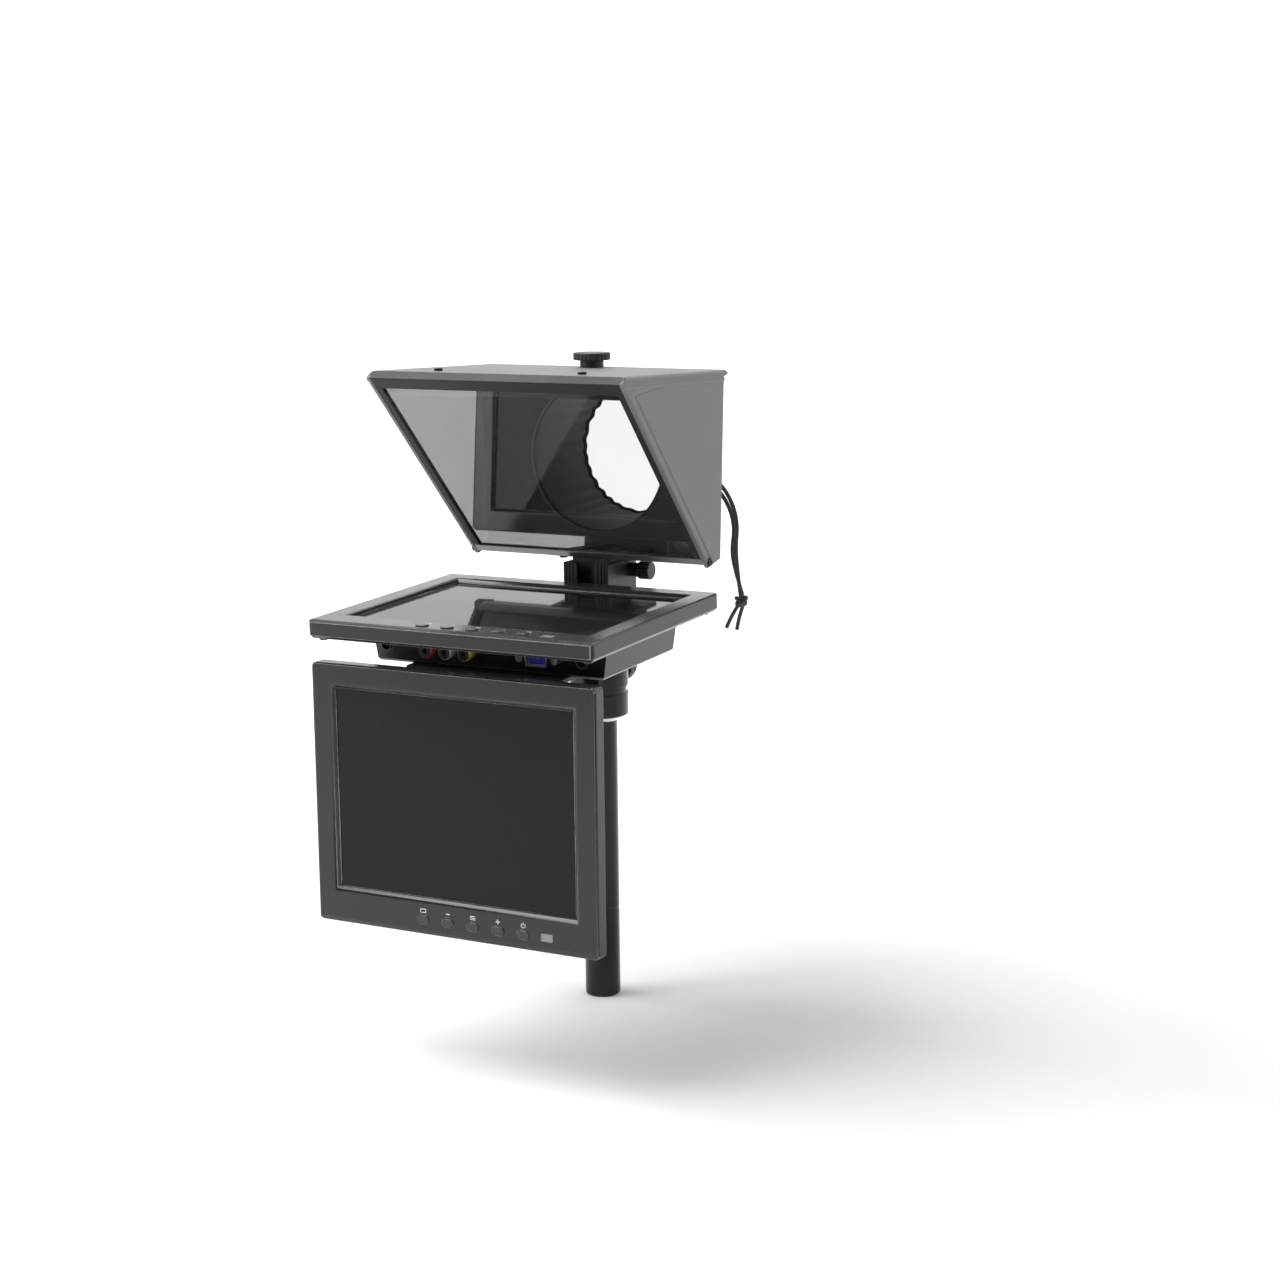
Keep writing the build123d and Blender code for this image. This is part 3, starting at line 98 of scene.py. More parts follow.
def make_camera():
    data = bpy.data.cameras.new("studio_camera")
    data.lens, data.sensor_width = CAMERA_LENS_MM, SENSOR_WIDTH_MM
    camera = bpy.data.objects.new("studio_camera", data)
    bpy.context.scene.collection.objects.link(camera)
    axes = Matrix(camera_axes(CAMERA_AZIMUTH, CAMERA_ELEVATION, CAMERA_ROLL)).transposed()
    camera.matrix_world = Matrix.Translation(CAMERA_PLACE) @ axes.to_4x4()
    bpy.context.scene.camera = camera
    return camera


print("camera at", tuple(round(v, 3) for v in make_camera().location))

# %% [markdown]
# ## The draw cord's route
# The lens shroud closes round the lens with a cord. Its two ends hang side by side beside the hood
# and meet in a knot. A cord could be a bevelled curve alone, but this one is braided, and a braid
# shows. So the route is one smooth NURBS line per strand, and the braid's fine yarns are wound
# round points that are read back from that line. Each strand's length is read from its line too.

# %% Routes and sizes of the cord
CORD_RADIUS = 0.0015
CORD_ROUTES = {
    "draw_cord_a": [(46.6, 61.1, 357.4), (59.0, 61.1, 351.5), (69.5, 61.1, 339.0),
                    (74.6, 61.1, 323.0), (73.0, 61.1, 306.0), (74.2, 61.1, 290.0),
                    (76.6, 61.1, 273.6)],
    "draw_cord_b": [(44.6, 64.9, 352.4), (56.0, 64.9, 346.5), (66.0, 64.9, 334.5),
                    (70.6, 64.9, 319.0), (68.0, 64.9, 302.5), (71.4, 64.9, 287.5),
                    (76.0, 64.9, 273.6)],
}
TAIL_ROUTES = [[(74.2, 61.3, 265.6), (69.0, 61.3, 257.8), (65.8, 61.3, 250.2)],
               [(76.4, 64.7, 265.2), (73.2, 64.7, 256.4), (72.0, 64.7, 248.8)]]
KNOT_LOW, KNOT_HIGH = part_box("cord_knot")


def nurbs_line(name, points_mm):
    """Smooth open NURBS curve through listed control points given in millimetres."""
    curve = bpy.data.curves.new(name, "CURVE")
    curve.dimensions = "3D"
    curve.resolution_u = 24
    spline = curve.splines.new("NURBS")
    spline.points.add(len(points_mm) - 1)
    for point, place in zip(spline.points, points_mm):
        point.co = (*(v / 1000 for v in place), 1.0)
    spline.order_u = 3
    spline.use_endpoint_u = True
    line = bpy.data.objects.new(name, curve)
    bpy.context.scene.collection.objects.link(line)
    return line


def points_along(line):
    """Points read from a curve that has no bevel yet."""
    bpy.context.view_layer.update()
    mesh = bpy.data.meshes.new_from_object(line)
    places = [v.co.copy() for v in mesh.vertices]
    bpy.data.meshes.remove(mesh)
    return places


def length_of(places):
    return sum((b - a).length for a, b in zip(places, places[1:]))


cord_lines = {name: nurbs_line(name + "_core", route) for name, route in CORD_ROUTES.items()}
cord_paths = {name: points_along(line) for name, line in cord_lines.items()}
tail_lines = [nurbs_line(f"cord_tail_{k}_core", route) for k, route in enumerate(TAIL_ROUTES)]
tail_paths = [points_along(line) for line in tail_lines]
for name, places in cord_paths.items():
    print(name, "runs", round(length_of(places) * 1000, 1), "mm")

# %% [markdown]
# ## Small effects shared by the finishes
# Real finishes are never one flat colour. Four effects come up again and again here: the fine
# grain of moulded plastic, a lighter line on each edge that is partly wear from handling and
# partly a painted highlight, dust that settles on upward faces, and cloth weave. Each is a shader
# node group, built once with named inputs, and each gives out only a colour, a mask, a value or a
# normal. The shader itself stays in the material, where its plain numbers can be read.

# %% Helpers for node groups and materials


def new_group(name, inputs, outputs):
    """Empty shader node group with typed sockets; returns the tree and its two end nodes."""
    tree = bpy.data.node_groups.new(name, "ShaderNodeTree")
    for label, kind, value in inputs:
        socket = tree.interface.new_socket(label, in_out="INPUT", socket_type=kind)
        socket.default_value = value
    for label, kind in outputs:
        tree.interface.new_socket(label, in_out="OUTPUT", socket_type=kind)
    return tree, tree.nodes.new("NodeGroupInput"), tree.nodes.new("NodeGroupOutput")


def add(tree, kind, wires=(), **settings):
    """Add a node, set its fields, and fill or link its inputs by name or number."""
    node = tree.nodes.new(kind)
    for key, value in settings.items():
        setattr(node, key, value)
    for key, value in dict(wires).items():
        if isinstance(value, bpy.types.NodeSocket):
            tree.links.new(value, node.inputs[key])
        else:
            node.inputs[key].default_value = value
    return node


def math_node(tree, operation, a, b=0.0, clamp=False):
    node = add(tree, "ShaderNodeMath", {0: a, 1: b}, operation=operation, use_clamp=clamp)
    return node.outputs[0]


def connect(tree, node, **sources):
    """Link outputs to a node's inputs; an underscore in a name stands for a space."""
    for key, source in sources.items():
        tree.links.new(source, node.inputs[key.replace("_", " ")])
    return tree


def noise(tree, scale, detail=2.0, **more):
    """Noise in the piece's own frame, from 0 to 1."""
    place = add(tree, "ShaderNodeTexCoord").outputs["Object"]
    return add(tree, "ShaderNodeTexNoise", {"Vector": place, "Scale": scale, "Detail": detail,
                                            **more}).outputs["Fac"]


def bumped(tree, height, strength, distance, **more):
    return add(tree, "ShaderNodeBump", {"Height": height, "Strength": strength,
                                        "Distance": distance, **more}).outputs[0]


F, V = "NodeSocketFloat", "NodeSocketVector"


def build_grain_group():
    """Fine pitted grain of moulded plastic or powder coat: a height, and a slow patchiness."""
    tree, gin, gout = new_group("moulded_grain", [("Scale", F, 900.0), ("Patch Scale", F, 25.0)],
                                [("Height", F), ("Patches", F)])
    return connect(tree, gout, Height=noise(tree, gin.outputs["Scale"], 3.0, Roughness=0.6),
                   Patches=noise(tree, gin.outputs["Patch Scale"], 4.0, Roughness=0.55))


def build_edge_group():
    """Rounded normal at the edges, and a mask of where it leaves the true one."""
    tree, gin, gout = new_group("edge_wear_and_highlight", [("Radius", F, 0.0006), ("Amount", F, 1.0)],
                                [("Mask", F), ("Rounded", V)])
    rounded = add(tree, "ShaderNodeBevel", {"Radius": gin.outputs["Radius"]}, samples=4)
    true = add(tree, "ShaderNodeNewGeometry").outputs["Normal"]
    dot = add(tree, "ShaderNodeVectorMath", {0: rounded.outputs[0], 1: true},
              operation="DOT_PRODUCT").outputs["Value"]
    # Convex and concave edges both enter this mask; the finishes lighten them with it, partly as
    # wear and partly as a painted highlight.
    away = math_node(tree, "SUBTRACT", 1.0, dot, clamp=True)
    broken = math_node(tree, "MULTIPLY", away, noise(tree, 180.0, 3.0))
    strong = math_node(tree, "MULTIPLY", broken, 6.0, clamp=True)
    mask = math_node(tree, "MULTIPLY", strong, gin.outputs["Amount"], clamp=True)
    return connect(tree, gout, Mask=mask, Rounded=rounded.outputs[0])


def build_dust_group():
    """Thin dust on faces that look up, thicker where a slow noise is high."""
    tree, gin, gout = new_group("settled_dust", [("Amount", F, 0.2)], [("Mask", F)])
    normal = add(tree, "ShaderNodeNewGeometry").outputs["Normal"]
    up = add(tree, "ShaderNodeSeparateXYZ", {0: normal}).outputs["Z"]
    facing = math_node(tree, "POWER", math_node(tree, "MAXIMUM", up, 0.0), 3.0)
    both = math_node(tree, "MULTIPLY", noise(tree, 60.0, 6.0, Roughness=0.7),
                     noise(tree, 1400.0))
    patchy = math_node(tree, "MULTIPLY", math_node(tree, "MULTIPLY", both, 2.0), facing)
    mask = math_node(tree, "MULTIPLY", patchy, gin.outputs["Amount"], clamp=True)
    return connect(tree, gout, Mask=mask)


def build_weave_group():
    """Plain weave from two crossed bands that run along U and V, in threads per unit."""
    tree, gin, gout = new_group("plain_weave", [("Across", F, 300.0), ("Along", F, 60.0)],
                                [("Height", F), ("Thread", F)])
    uv = add(tree, "ShaderNodeUVMap").outputs[0]
    split = add(tree, "ShaderNodeSeparateXYZ", {0: uv})
    waves = []
    for axis, rate in (("X", "Across"), ("Y", "Along")):
        threads = math_node(tree, "MULTIPLY", split.outputs[axis], gin.outputs[rate])
        waves.append(math_node(tree, "SINE", math_node(tree, "MULTIPLY", threads, 2 * math.pi)))
    crossed = math_node(tree, "MULTIPLY", *waves)
    height = add(tree, "ShaderNodeMath", {0: crossed, 1: 0.5, 2: 0.5},
                 operation="MULTIPLY_ADD").outputs[0]
    return connect(tree, gout, Height=height, Thread=noise(tree, 220.0, 4.0))


GRAIN, EDGE = build_grain_group(), build_edge_group()
DUST, WEAVE = build_dust_group(), build_weave_group()
print("shared effects:", [g.name for g in (GRAIN, EDGE, DUST, WEAVE)])

# %% [markdown]
# ## Moulded and coated finishes
# Most of this object is black or grey plastic and powder-coated metal. They differ less in colour
# than in how light breaks up on them: a cheap case has a satin grain, powder coat is finer and
# harder, rubber is dull. One function lays the shared effects over a colour, and each finish
# passes its own values, so that the differences can be read side by side.

# %% A finish made of colour, grain, edges lightened by wear and a painted highlight, and dust


def use_group(tree, group, **values):
    node = tree.nodes.new("ShaderNodeGroup")
    node.node_tree = group
    for key, value in values.items():
        node.inputs[key.replace("_", " ")].default_value = value
    return node


def mix_colour(tree, factor, a, b):
    node = add(tree, "ShaderNodeMix", data_type="RGBA")
    for socket, value in ((node.inputs[0], factor), (node.inputs[6], a), (node.inputs[7], b)):
        if isinstance(value, bpy.types.NodeSocket):
            tree.links.new(value, socket)
        else:
            socket.default_value = value
    return node.outputs[2]


def ramp_value(tree, value, low, high):
    """Map 0..1 to low..high."""
    node = add(tree, "ShaderNodeMapRange", {0: value, 3: low, 4: high})
    return node.outputs[0]


def new_material(name, **plain):
    material = bpy.data.materials.new(name)
    material.use_nodes = True
    shader = material.node_tree.nodes["Principled BSDF"]
    for key, value in plain.items():
        shader.inputs[key.replace("_", " ")].default_value = value
    return material, material.node_tree, shader


def grey(value):
    return (value, value, value, 1.0)


def shade(colour, gain, lift=0.0, most=math.inf):
    """The colour made lighter or darker, with alpha 1."""
    return tuple(min(most, gain * c + lift) for c in colour[:3]) + (1.0,)


THICK_DUST, THIN_DUST = grey(0.42), grey(0.3)


def dusted(tree, colour, amount, dust):
    return mix_colour(tree, use_group(tree, DUST, Amount=amount).outputs["Mask"], colour, dust)


def coated(name, colour, worn_and_highlight, rough=(0.4, 0.55), grain=900.0, bump=0.05, dust=0.15, wear_and_highlight=0.6,
           patch=0.12, radius=0.0006, **plain):
    """Painted, coated or moulded surface in one colour that shades to a second one at its edges:
    partly wear, partly a painted highlight.
    """
    material, tree, shader = new_material(name, **plain)
    texture = use_group(tree, GRAIN, Scale=grain)
    edge = use_group(tree, EDGE, Radius=radius, Amount=wear_and_highlight)
    body = mix_colour(tree, texture.outputs["Patches"], shade(colour, 1 - patch),
                      shade(colour, 1 + patch))
    # Edge colour from the edge mask: partly wear, partly a painted highlight that stands in for
    # light on rounded edges.
    edged = mix_colour(tree, edge.outputs["Mask"], body, worn_and_highlight)
    connect(tree, shader, Base_Color=dusted(tree, edged, dust, THICK_DUST),
            Roughness=ramp_value(tree, texture.outputs["Patches"], *rough),
            Normal=bumped(tree, texture.outputs["Height"], bump, 0.0002,
                          Normal=edge.outputs["Rounded"]))
    return material


FINISH = {
    # On the satin case the pale edge colour over near-black plastic is mostly a painted highlight,
    # not wear.
    "satin_case": coated("satin_case_plastic", grey(0.011), grey(0.60), (0.18, 0.26), 1500.0, 0.05,
                         radius=0.0008, wear_and_highlight=1.0),
    "hood_plastic": coated("hood_grey_plastic", grey(0.15), grey(0.42), (0.42, 0.55), 1300.0, 0.12,
                           dust=0.10, wear_and_highlight=0.4),
    "seal_rubber": coated("seal_black_rubber", grey(0.012), grey(0.03), (0.55, 0.7), 700.0, 0.08),
    "black_plastic": coated("black_plastic", grey(0.018), grey(0.07), (0.4, 0.55)),
    "knob_plastic": coated("knob_black_plastic", grey(0.03), grey(0.12), (0.42, 0.55), 1100.0, 0.1),
    "button_plastic": coated("button_grey_plastic", grey(0.03), grey(0.16), (0.24, 0.34), 1800.0,
                             0.04, radius=0.0003),
    "black_tube": coated("tube_black_gloss", grey(0.006), grey(0.09), (0.10, 0.17), 1600.0, 0.02,
                         Specular_IOR_Level=0.35),
    "black_plate": coated("plate_powder_coat", grey(0.02), grey(0.1), (0.45, 0.6), 1900.0, 0.16),
    "circuit_board": coated("board_solder_mask", (0.01, 0.08, 0.035, 1), (0.2, 0.16, 0.05, 1),
                            (0.3, 0.4)),
}
print("coated finishes:", len(FINISH))

# %% [markdown]
# ## Metals
# The upright is an anodised extrusion, drawn through a die, and it keeps faint lines along its
# length. Stretching a noise along Z makes those lines cheaply. The ring under the receiver is
# plated and shows its surroundings, and the screws are black oxide with a little bare steel at
# the rim of the head.

# %% Metal finishes


def drawn_metal(name, colour, rough, stretch, lines=0.1, **plain):
    """Metal with fine lines along one axis, made by a noise squeezed across it."""
    material, tree, shader = new_material(name, **plain)
    place = add(tree, "ShaderNodeTexCoord").outputs["Object"]
    squeezed = add(tree, "ShaderNodeMapping", {"Vector": place, "Scale": stretch}).outputs[0]
    streaks = noise(tree, 1.0, 4.0, Vector=squeezed)
    edge = use_group(tree, EDGE, Radius=0.0005, Amount=0.7)
    tone = mix_colour(tree, streaks, shade(colour, 0.8), shade(colour, 1.2, most=1.0))
    # Lighter edge colour: partly bare metal from wear, partly a painted highlight.
    worn_and_highlight = shade(colour, 2.2, 0.04, 0.8)
    connect(tree, shader, Base_Color=mix_colour(tree, edge.outputs["Mask"], tone, worn_and_highlight),
            Roughness=ramp_value(tree, streaks, *rough),
            Normal=bumped(tree, streaks, lines, 0.0001))
    return material


FINISH.update({
    "black_extrusion": drawn_metal("extrusion_black_anodised", grey(0.05), (0.3, 0.45),
                                   (2500, 2500, 30), Metallic=0.7),
    "satin_bar": drawn_metal("ledge_grey_anodised", grey(0.24), (0.35, 0.5), (30, 2500, 2500),
                             Metallic=0.85),
    "bright_ring": drawn_metal("ring_bright_plate", grey(0.72), (0.12, 0.22), (900, 900, 900), 0.03,
                               Metallic=1.0),
    "bright_pin": drawn_metal("pin_turned_steel", grey(0.5), (0.25, 0.4), (2500, 300, 300),
                              Metallic=1.0),
    "panel_metal": drawn_metal("panel_folded_sheet", grey(0.5), (0.35, 0.5), (40, 900, 900),
                               Metallic=1.0),
    "black_screw": drawn_metal("screw_black_oxide", grey(0.035), (0.28, 0.42), (800, 800, 800),
                               Metallic=0.8),
})
print("finishes so far:", len(FINISH))

# %% [markdown]
# ## Glass
# Three kinds of glass matter. A monitor's screen is a dark panel behind a smooth sheet, so it is
# almost black with a clean reflection. The beamsplitter carries a thin metal film on its front
# face: part of the light turns back as in a mirror and the rest goes straight on. A thick glass
# shader would bend and double that reflection, so the film is a mirror that is mostly
# transparent, and only the front face of the sheet wears it. The back face and the edges are
# plain glass with a little smear and dust.

# %% Glass finishes
FILM_MIRROR_SHARE = 0.27       # light that the film turns back
PLAIN_GLASS_SHARE = 0.07       # what the uncoated back face and edges take away


def screen_glass():
    material, tree, shader = new_material("screen_dark_glass", Specular_IOR_Level=0.2)
    tone = mix_colour(tree, noise(tree, 3000.0, 1.0), grey(0.005), grey(0.008))
    connect(tree, shader, Base_Color=dusted(tree, tone, 0.06, THIN_DUST),
            Roughness=ramp_value(tree, noise(tree, 18.0, 5.0), 0.03, 0.06))
    return material


def splitter_glass(name, share, colour, metal):
    material, tree, shader = new_material(name, Metallic=metal, Roughness=0.02, IOR=1.52)
    smear = noise(tree, 12.0, 6.0, Distortion=0.6)
    speck = math_node(tree, "SUBTRACT", noise(tree, 500.0), 0.66, clamp=True)
    alpha = math_node(tree, "ADD", ramp_value(tree, smear, share * 0.92, share * 1.08),
                      math_node(tree, "MULTIPLY", speck, 0.5), clamp=True)
    connect(tree, shader, Alpha=alpha, Roughness=ramp_value(tree, smear, 0.012, 0.035),
            Base_Color=mix_colour(tree, smear, colour, shade(colour, 0.96)))
    material.surface_render_method = "BLENDED"
    return material


FINISH["screen_glass"] = screen_glass()
FILM = splitter_glass("beamsplitter_film", FILM_MIRROR_SHARE, (0.92, 0.93, 0.92, 1), 1.0)
CLEAR = splitter_glass("beamsplitter_clear", PLAIN_GLASS_SHARE, (0.10, 0.13, 0.12, 1), 0.0)
FINISH["beamsplitter"] = FILM
print("glass finishes:", FILM.name, CLEAR.name)

# %% [markdown]
# ## Sockets, cloth and cord
# The sockets carry the only colour on the object: red, white and yellow for the phono sockets and
# blue for the VGA insert. They are glossy nylon with a faint mottling. The lens shroud is black
# stretch cloth with a low sheen, and the cord is dark yarn with a light fleck in every third one.

# %% Small finishes


def nylon(name, colour):
    return coated(name, colour, shade(colour, 1.3, most=1.0), (0.22, 0.34),
                  1200.0, 0.04, dust=0.08, wear_and_highlight=0.3, patch=0.06, radius=0.0003)


def cloth(name, dark, light, across, along, rough, sheen):
    material, tree, shader = new_material(name, Sheen_Weight=sheen, Sheen_Roughness=0.5)
    weave = use_group(tree, WEAVE, Across=across, Along=along)
    body = mix_colour(tree, weave.outputs["Height"], dark, light)
    connect(tree, shader, Base_Color=dusted(tree, body, 0.25, THIN_DUST),
            Roughness=ramp_value(tree, weave.outputs["Thread"], *rough),
            Normal=bumped(tree, weave.outputs["Height"], 0.6, 0.0004))
    return material


SOCKET_COLOURS = {"red": nylon("socket_red", (0.78, 0.05, 0.07, 1)),
                  "white": nylon("socket_white", (0.95, 0.95, 0.93, 1)),
                  "yellow": nylon("socket_yellow", (0.95, 0.74, 0.05, 1)),
                  "blue": nylon("socket_blue", (0.035, 0.04, 0.50, 1))}
FINISH.update({
    "jack_plastic": nylon("socket_black", grey(0.03)),
    "port_blue": drawn_metal("socket_plated_shell", grey(0.45), (0.25, 0.4), (900, 900, 900), 0.03,
                             Metallic=1.0),
    "ir_plastic": nylon("infrared_window", (0.24, 0.235, 0.24, 1)),
    "shroud_fabric": cloth("shroud_stretch_cloth", grey(0.006), grey(0.022), 420.0, 90.0,
                           (0.75, 0.92), 0.25),
    "cord_fabric": cloth("cord_dark_yarn", grey(0.02), grey(0.05), 6.0, 240.0, (0.6, 0.8), 0.3),
})
LIGHT_YARN = cloth("cord_light_yarn", grey(0.32), grey(0.5), 6.0, 240.0, (0.55, 0.75), 0.3)
WHITE_PRINT = coated("white_print", grey(0.72), grey(0.8), (0.4, 0.5), dust=0.0, wear_and_highlight=0.0, bump=0.0)
for name, node in nodes.items():
    node.data.materials.clear()
    node.data.materials.append(FINISH[SLOT_OF[name]])
print("finished CAD pieces:", len(nodes), "slots:", len(FINISH))

# %% [markdown]
# ## Softened edges on the CAD pieces
# A CAD edge is perfectly sharp, and nothing real is. A moulded or milled edge catches a thin line
# of light, which is most of what makes these dark pieces readable. The CAD mesh itself stays
# untouched: each piece is copied and its flat faces are merged back from triangles. A bevel
# modifier can't be wider than the shortest edge it meets, and a rounded corner is made of many
# short ones. So only long edges between wide faces get a bevel weight, and the corners are left
# to the rounded normal in the material. The copy then stands for the node.

# %% Softened copies
SHARP_ANGLE = math.radians(30)
LONG_EDGE, WIDE_FACE = 6.0 * MM, 30.0 * MM * MM


def mesh_from(bm, name, outward=True):
    """Turn a bmesh into a mesh, with its faces outward, and free it."""
    if outward:
        bmesh.ops.recalc_face_normals(bm, faces=bm.faces)
    mesh = bpy.data.meshes.new(name)
    bm.to_mesh(mesh)
    bm.free()
    return mesh


def bridge(bm, lower, upper, closed=True):
    """Quads between two rows of as many points; closed joins the last point to the first."""
    count = len(lower)
    pairs = [(k, (k + 1) % count) for k in range(count if closed else count - 1)]
    return [bm.faces.new((lower[k], lower[j], upper[j], upper[k])) for k, j in pairs]


def circle(centre, side, up, radius, count):
    """Points of a circle round centre, in the plane of two unit vectors."""
    return [centre + radius * (math.cos(a) * side + math.sin(a) * up)
            for a in (2 * math.pi * k / count for k in range(count))]


def place_piece(name, mesh, body, slot=None, material=None, replaces=()):
    """New object that rides on a CAD body, wears a slot's finish and may stand for CAD nodes."""
    piece = bpy.data.objects.new(name, mesh)
    bpy.context.scene.collection.objects.link(piece)
    if material is not None or slot is not None:
        piece.data.materials.clear()
        piece.data.materials.append(material or FINISH[slot])
    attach(piece, body)
    if replaces:
        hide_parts(*replaces)
    return piece


def add_bevel(piece, width, method="ANGLE", segments=3, angle=SHARP_ANGLE):
    bevel = piece.modifiers.new("rounded_edges", "BEVEL")
    bevel.width, bevel.segments = width, segments
    bevel.limit_method, bevel.angle_limit = method, angle
    bevel.harden_normals = True
    bevel.use_clamp_overlap = method == "ANGLE"
    even = piece.modifiers.new("flat_faces_stay_flat", "WEIGHTED_NORMAL")
    even.keep_sharp, even.weight = True, 100
    for face in piece.data.polygons:
        face.use_smooth = True


def plain_copy(name):
    """Copy of a CAD mesh with its triangles merged into flat faces and its old normals dropped."""
    bm = bmesh.new()
    bm.from_mesh(nodes[name].data)
    bmesh.ops.remove_doubles(bm, verts=bm.verts, dist=2e-6)
    bmesh.ops.dissolve_limit(bm, angle_limit=math.radians(0.6), verts=bm.verts, edges=bm.edges)
    mesh = mesh_from(bm, name + "_soft", outward=False)
    for attribute in [a for a in mesh.attributes if a.name == "custom_normal"]:
        mesh.attributes.remove(attribute)
    return mesh


def mark_long_edges(mesh, in_reach):
    """Give bevel weight to long sharp edges between wide faces; returns how many there are."""
    bm = bmesh.new()
    bm.from_mesh(mesh)
    weight = bm.edges.layers.float.new("bevel_weight_edge")
    marked = 0
    for edge in bm.edges:
        sharp = edge.is_manifold and edge.calc_face_angle(0.0) > SHARP_ANGLE
        middle = (edge.verts[0].co + edge.verts[1].co) / 2
        if (sharp and edge.calc_length() > LONG_EDGE and in_reach(middle)
                and min(face.calc_area() for face in edge.link_faces) > WIDE_FACE):
            edge[weight] = 1.0
            marked += 1
        elif sharp:
            edge.smooth = False
    bm.to_mesh(mesh)
    bm.free()
    return marked


def soften(name, width):
    mesh = plain_copy(name)
    marked = mark_long_edges(mesh, FRONT_HALF.get(name, lambda place: True))
    piece = place_piece(name + "_soft", mesh, BODY_OF[name], SLOT_OF[name], replaces=[name])
    add_bevel(piece, width, "WEIGHT")
    return marked


LOW_FRONT, HIGH_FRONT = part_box("talent_bezel"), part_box("flat_bezel")
FRONT_HALF = {"talent_bezel": lambda place: place.y < (LOW_FRONT[0][1] + LOW_FRONT[1][1]) / 2,
              "flat_bezel": lambda place: place.z > (HIGH_FRONT[0][2] + HIGH_FRONT[1][2]) / 2}
SOFT_EDGES = {0.0009: ["flat_bezel", "talent_bezel"],
              0.0006: ["tray_plate", "talent_hanger", "tilt_plate", "glass_ledge",
                       "hood_back_plate", "glass_retainer", "glass_seal"],
              0.0005: ["upright_channel"]}
for width, names in SOFT_EDGES.items():
    for name in names:
        print(name, "edges rounded:", soften(name, width))
print("softened:", sum(len(names) for names in SOFT_EDGES.values()))

# %% [markdown]
# ## The hood shell
# The hood is one moulding: a roof with rounded shoulders and two cheeks. The cheeks carry a rolled
# bead along the sloped rim, with a dark groove behind it, and a low step under the roof. Carving
# these into the CAD solid would be slow, and a bump map would leave the outline flat. So the shell
# is a grid that runs over the cheeks and the roof like wallpaper: one direction climbs the
# section, the other follows the rim first and then spreads to the rear. The relief is a small
# sideways move of the outer grid, and a plain inner grid behind it gives the wall.

# %% Hood shell: the outline it has to fill
HOOD_LOW, HOOD_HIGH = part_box("hood_shell")
SEAL_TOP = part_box("glass_seal")[1].z
RIM_TOP = (HOOD_LOW.y, SEAL_TOP)                   # upper end of the sloped rim, Y and Z
RIM_TIP = (-11.4 * MM, HOOD_LOW.z)                 # lowest tip of the cheeks
ROOF_FRONT = (HOOD_LOW.y + 4.8 * MM, HOOD_HIGH.z)
ROOF_REAR = (HOOD_HIGH.y, HOOD_HIGH.z - 4.2 * MM)
CHEEK_REAR = (6.0 * MM, HOOD_LOW.z + 4.3 * MM)
HALF_LOW, HALF_TOP = 88.5 * MM, 92.0 * MM
SHOULDER = 4.0 * MM
WALL = 2.4 * MM


def on_line(a, a0, a1, b0, b1):
    """Value that goes in a straight line from b0 at a0 to b1 at a1."""
    return b0 + (b1 - b0) * ((a - a0) / (a1 - a0))


def hood_half(z):
    return on_line(z, RIM_TIP[1], ROOF_FRONT[1], HALF_LOW, HALF_TOP)


def rim_y(z):
    return on_line(z, RIM_TOP[1], RIM_TIP[1], RIM_TOP[0], RIM_TIP[0])


def roof_z(y):
    return on_line(y, ROOF_FRONT[0], ROOF_REAR[0], ROOF_FRONT[1], ROOF_REAR[1])


def rear_y(z):
    """Rear edge of a cheek, which runs forward to the tip along the chamfered bottom."""
    if z >= CHEEK_REAR[1]:
        return CHEEK_REAR[0]
    return on_line(z, RIM_TIP[1], CHEEK_REAR[1], RIM_TIP[0], CHEEK_REAR[0])


# %% Hood shell: relief and grid
# Each relief is a list of (mm behind the rim or under the roof, mm outwards).
BEAD = [(0.0, -0.1), (0.5, 0.35), (1.2, 0.62), (2.2, 0.72), (3.2, 0.62), (3.9, 0.35), (4.3, -0.1),
        (4.7, -0.55), (5.6, -0.7), (6.5, -0.55), (6.9, 0.0), (8.5, 0.0)]
RAIL_STEP = [(0.0, 0.0), (0.9, 0.0), (1.3, 0.4), (2.9, 0.4), (3.3, -0.15), (3.9, -0.15), (4.3, 0.0)]
RIM_SLOPE = 1.46                                   # horizontal run per millimetre across the bead
CHEEK_LEVELS, SPREAD_COLUMNS, ROOF_COLUMNS = 26, 16, 14


def section_rows():
    """Rows over the hood: (kind, parameter) from the left tip, over the roof, to the right tip."""
    bottom = [RIM_TIP[1] + v * MM for v in (0.05, 1.2, 2.4, 3.5)]
    top = roof_z(0.0) - SHOULDER - 4.6 * MM
    levels = bottom + [CHEEK_REAR[1] + (top - CHEEK_REAR[1]) * k / CHEEK_LEVELS
                       for k in range(CHEEK_LEVELS + 1)]
    cheek = [("level", z) for z in levels] + [("rail", d) for d, _ in reversed(RAIL_STEP)]
    arc = [("arc", math.radians(a)) for a in (15, 30, 45, 60, 75, 90)]
    left = [(-1, *row) for row in cheek + arc]
    across = [(0, "roof", -1 + 2 * k / ROOF_COLUMNS) for k in range(1, ROOF_COLUMNS)]
    return left + across + [(1, *row[1:]) for row in reversed(left)]


def cheek_point(side, z, column):
    """Outer and inner point of a cheek; the relief fades out towards the narrow tip."""
    front, rear = rim_y(z), rear_y(z)
    if column < len(BEAD):
        gap, out = BEAD[column]
        y = front + gap * RIM_SLOPE * MM
    else:
        start = front + BEAD[-1][0] * RIM_SLOPE * MM
        y = start + (rear - start) * (column - len(BEAD) + 1) / SPREAD_COLUMNS
        out = 0.0
    y = max(front, min(y, rear))
    fade = min(1.0, (rear - front) / (14 * MM)) * min(1.0, (rear - y) / (2 * MM))
    x = hood_half(z)
    return Vector((side * (x + out * MM * fade), y, z)), Vector((side * (x - WALL), y, z))


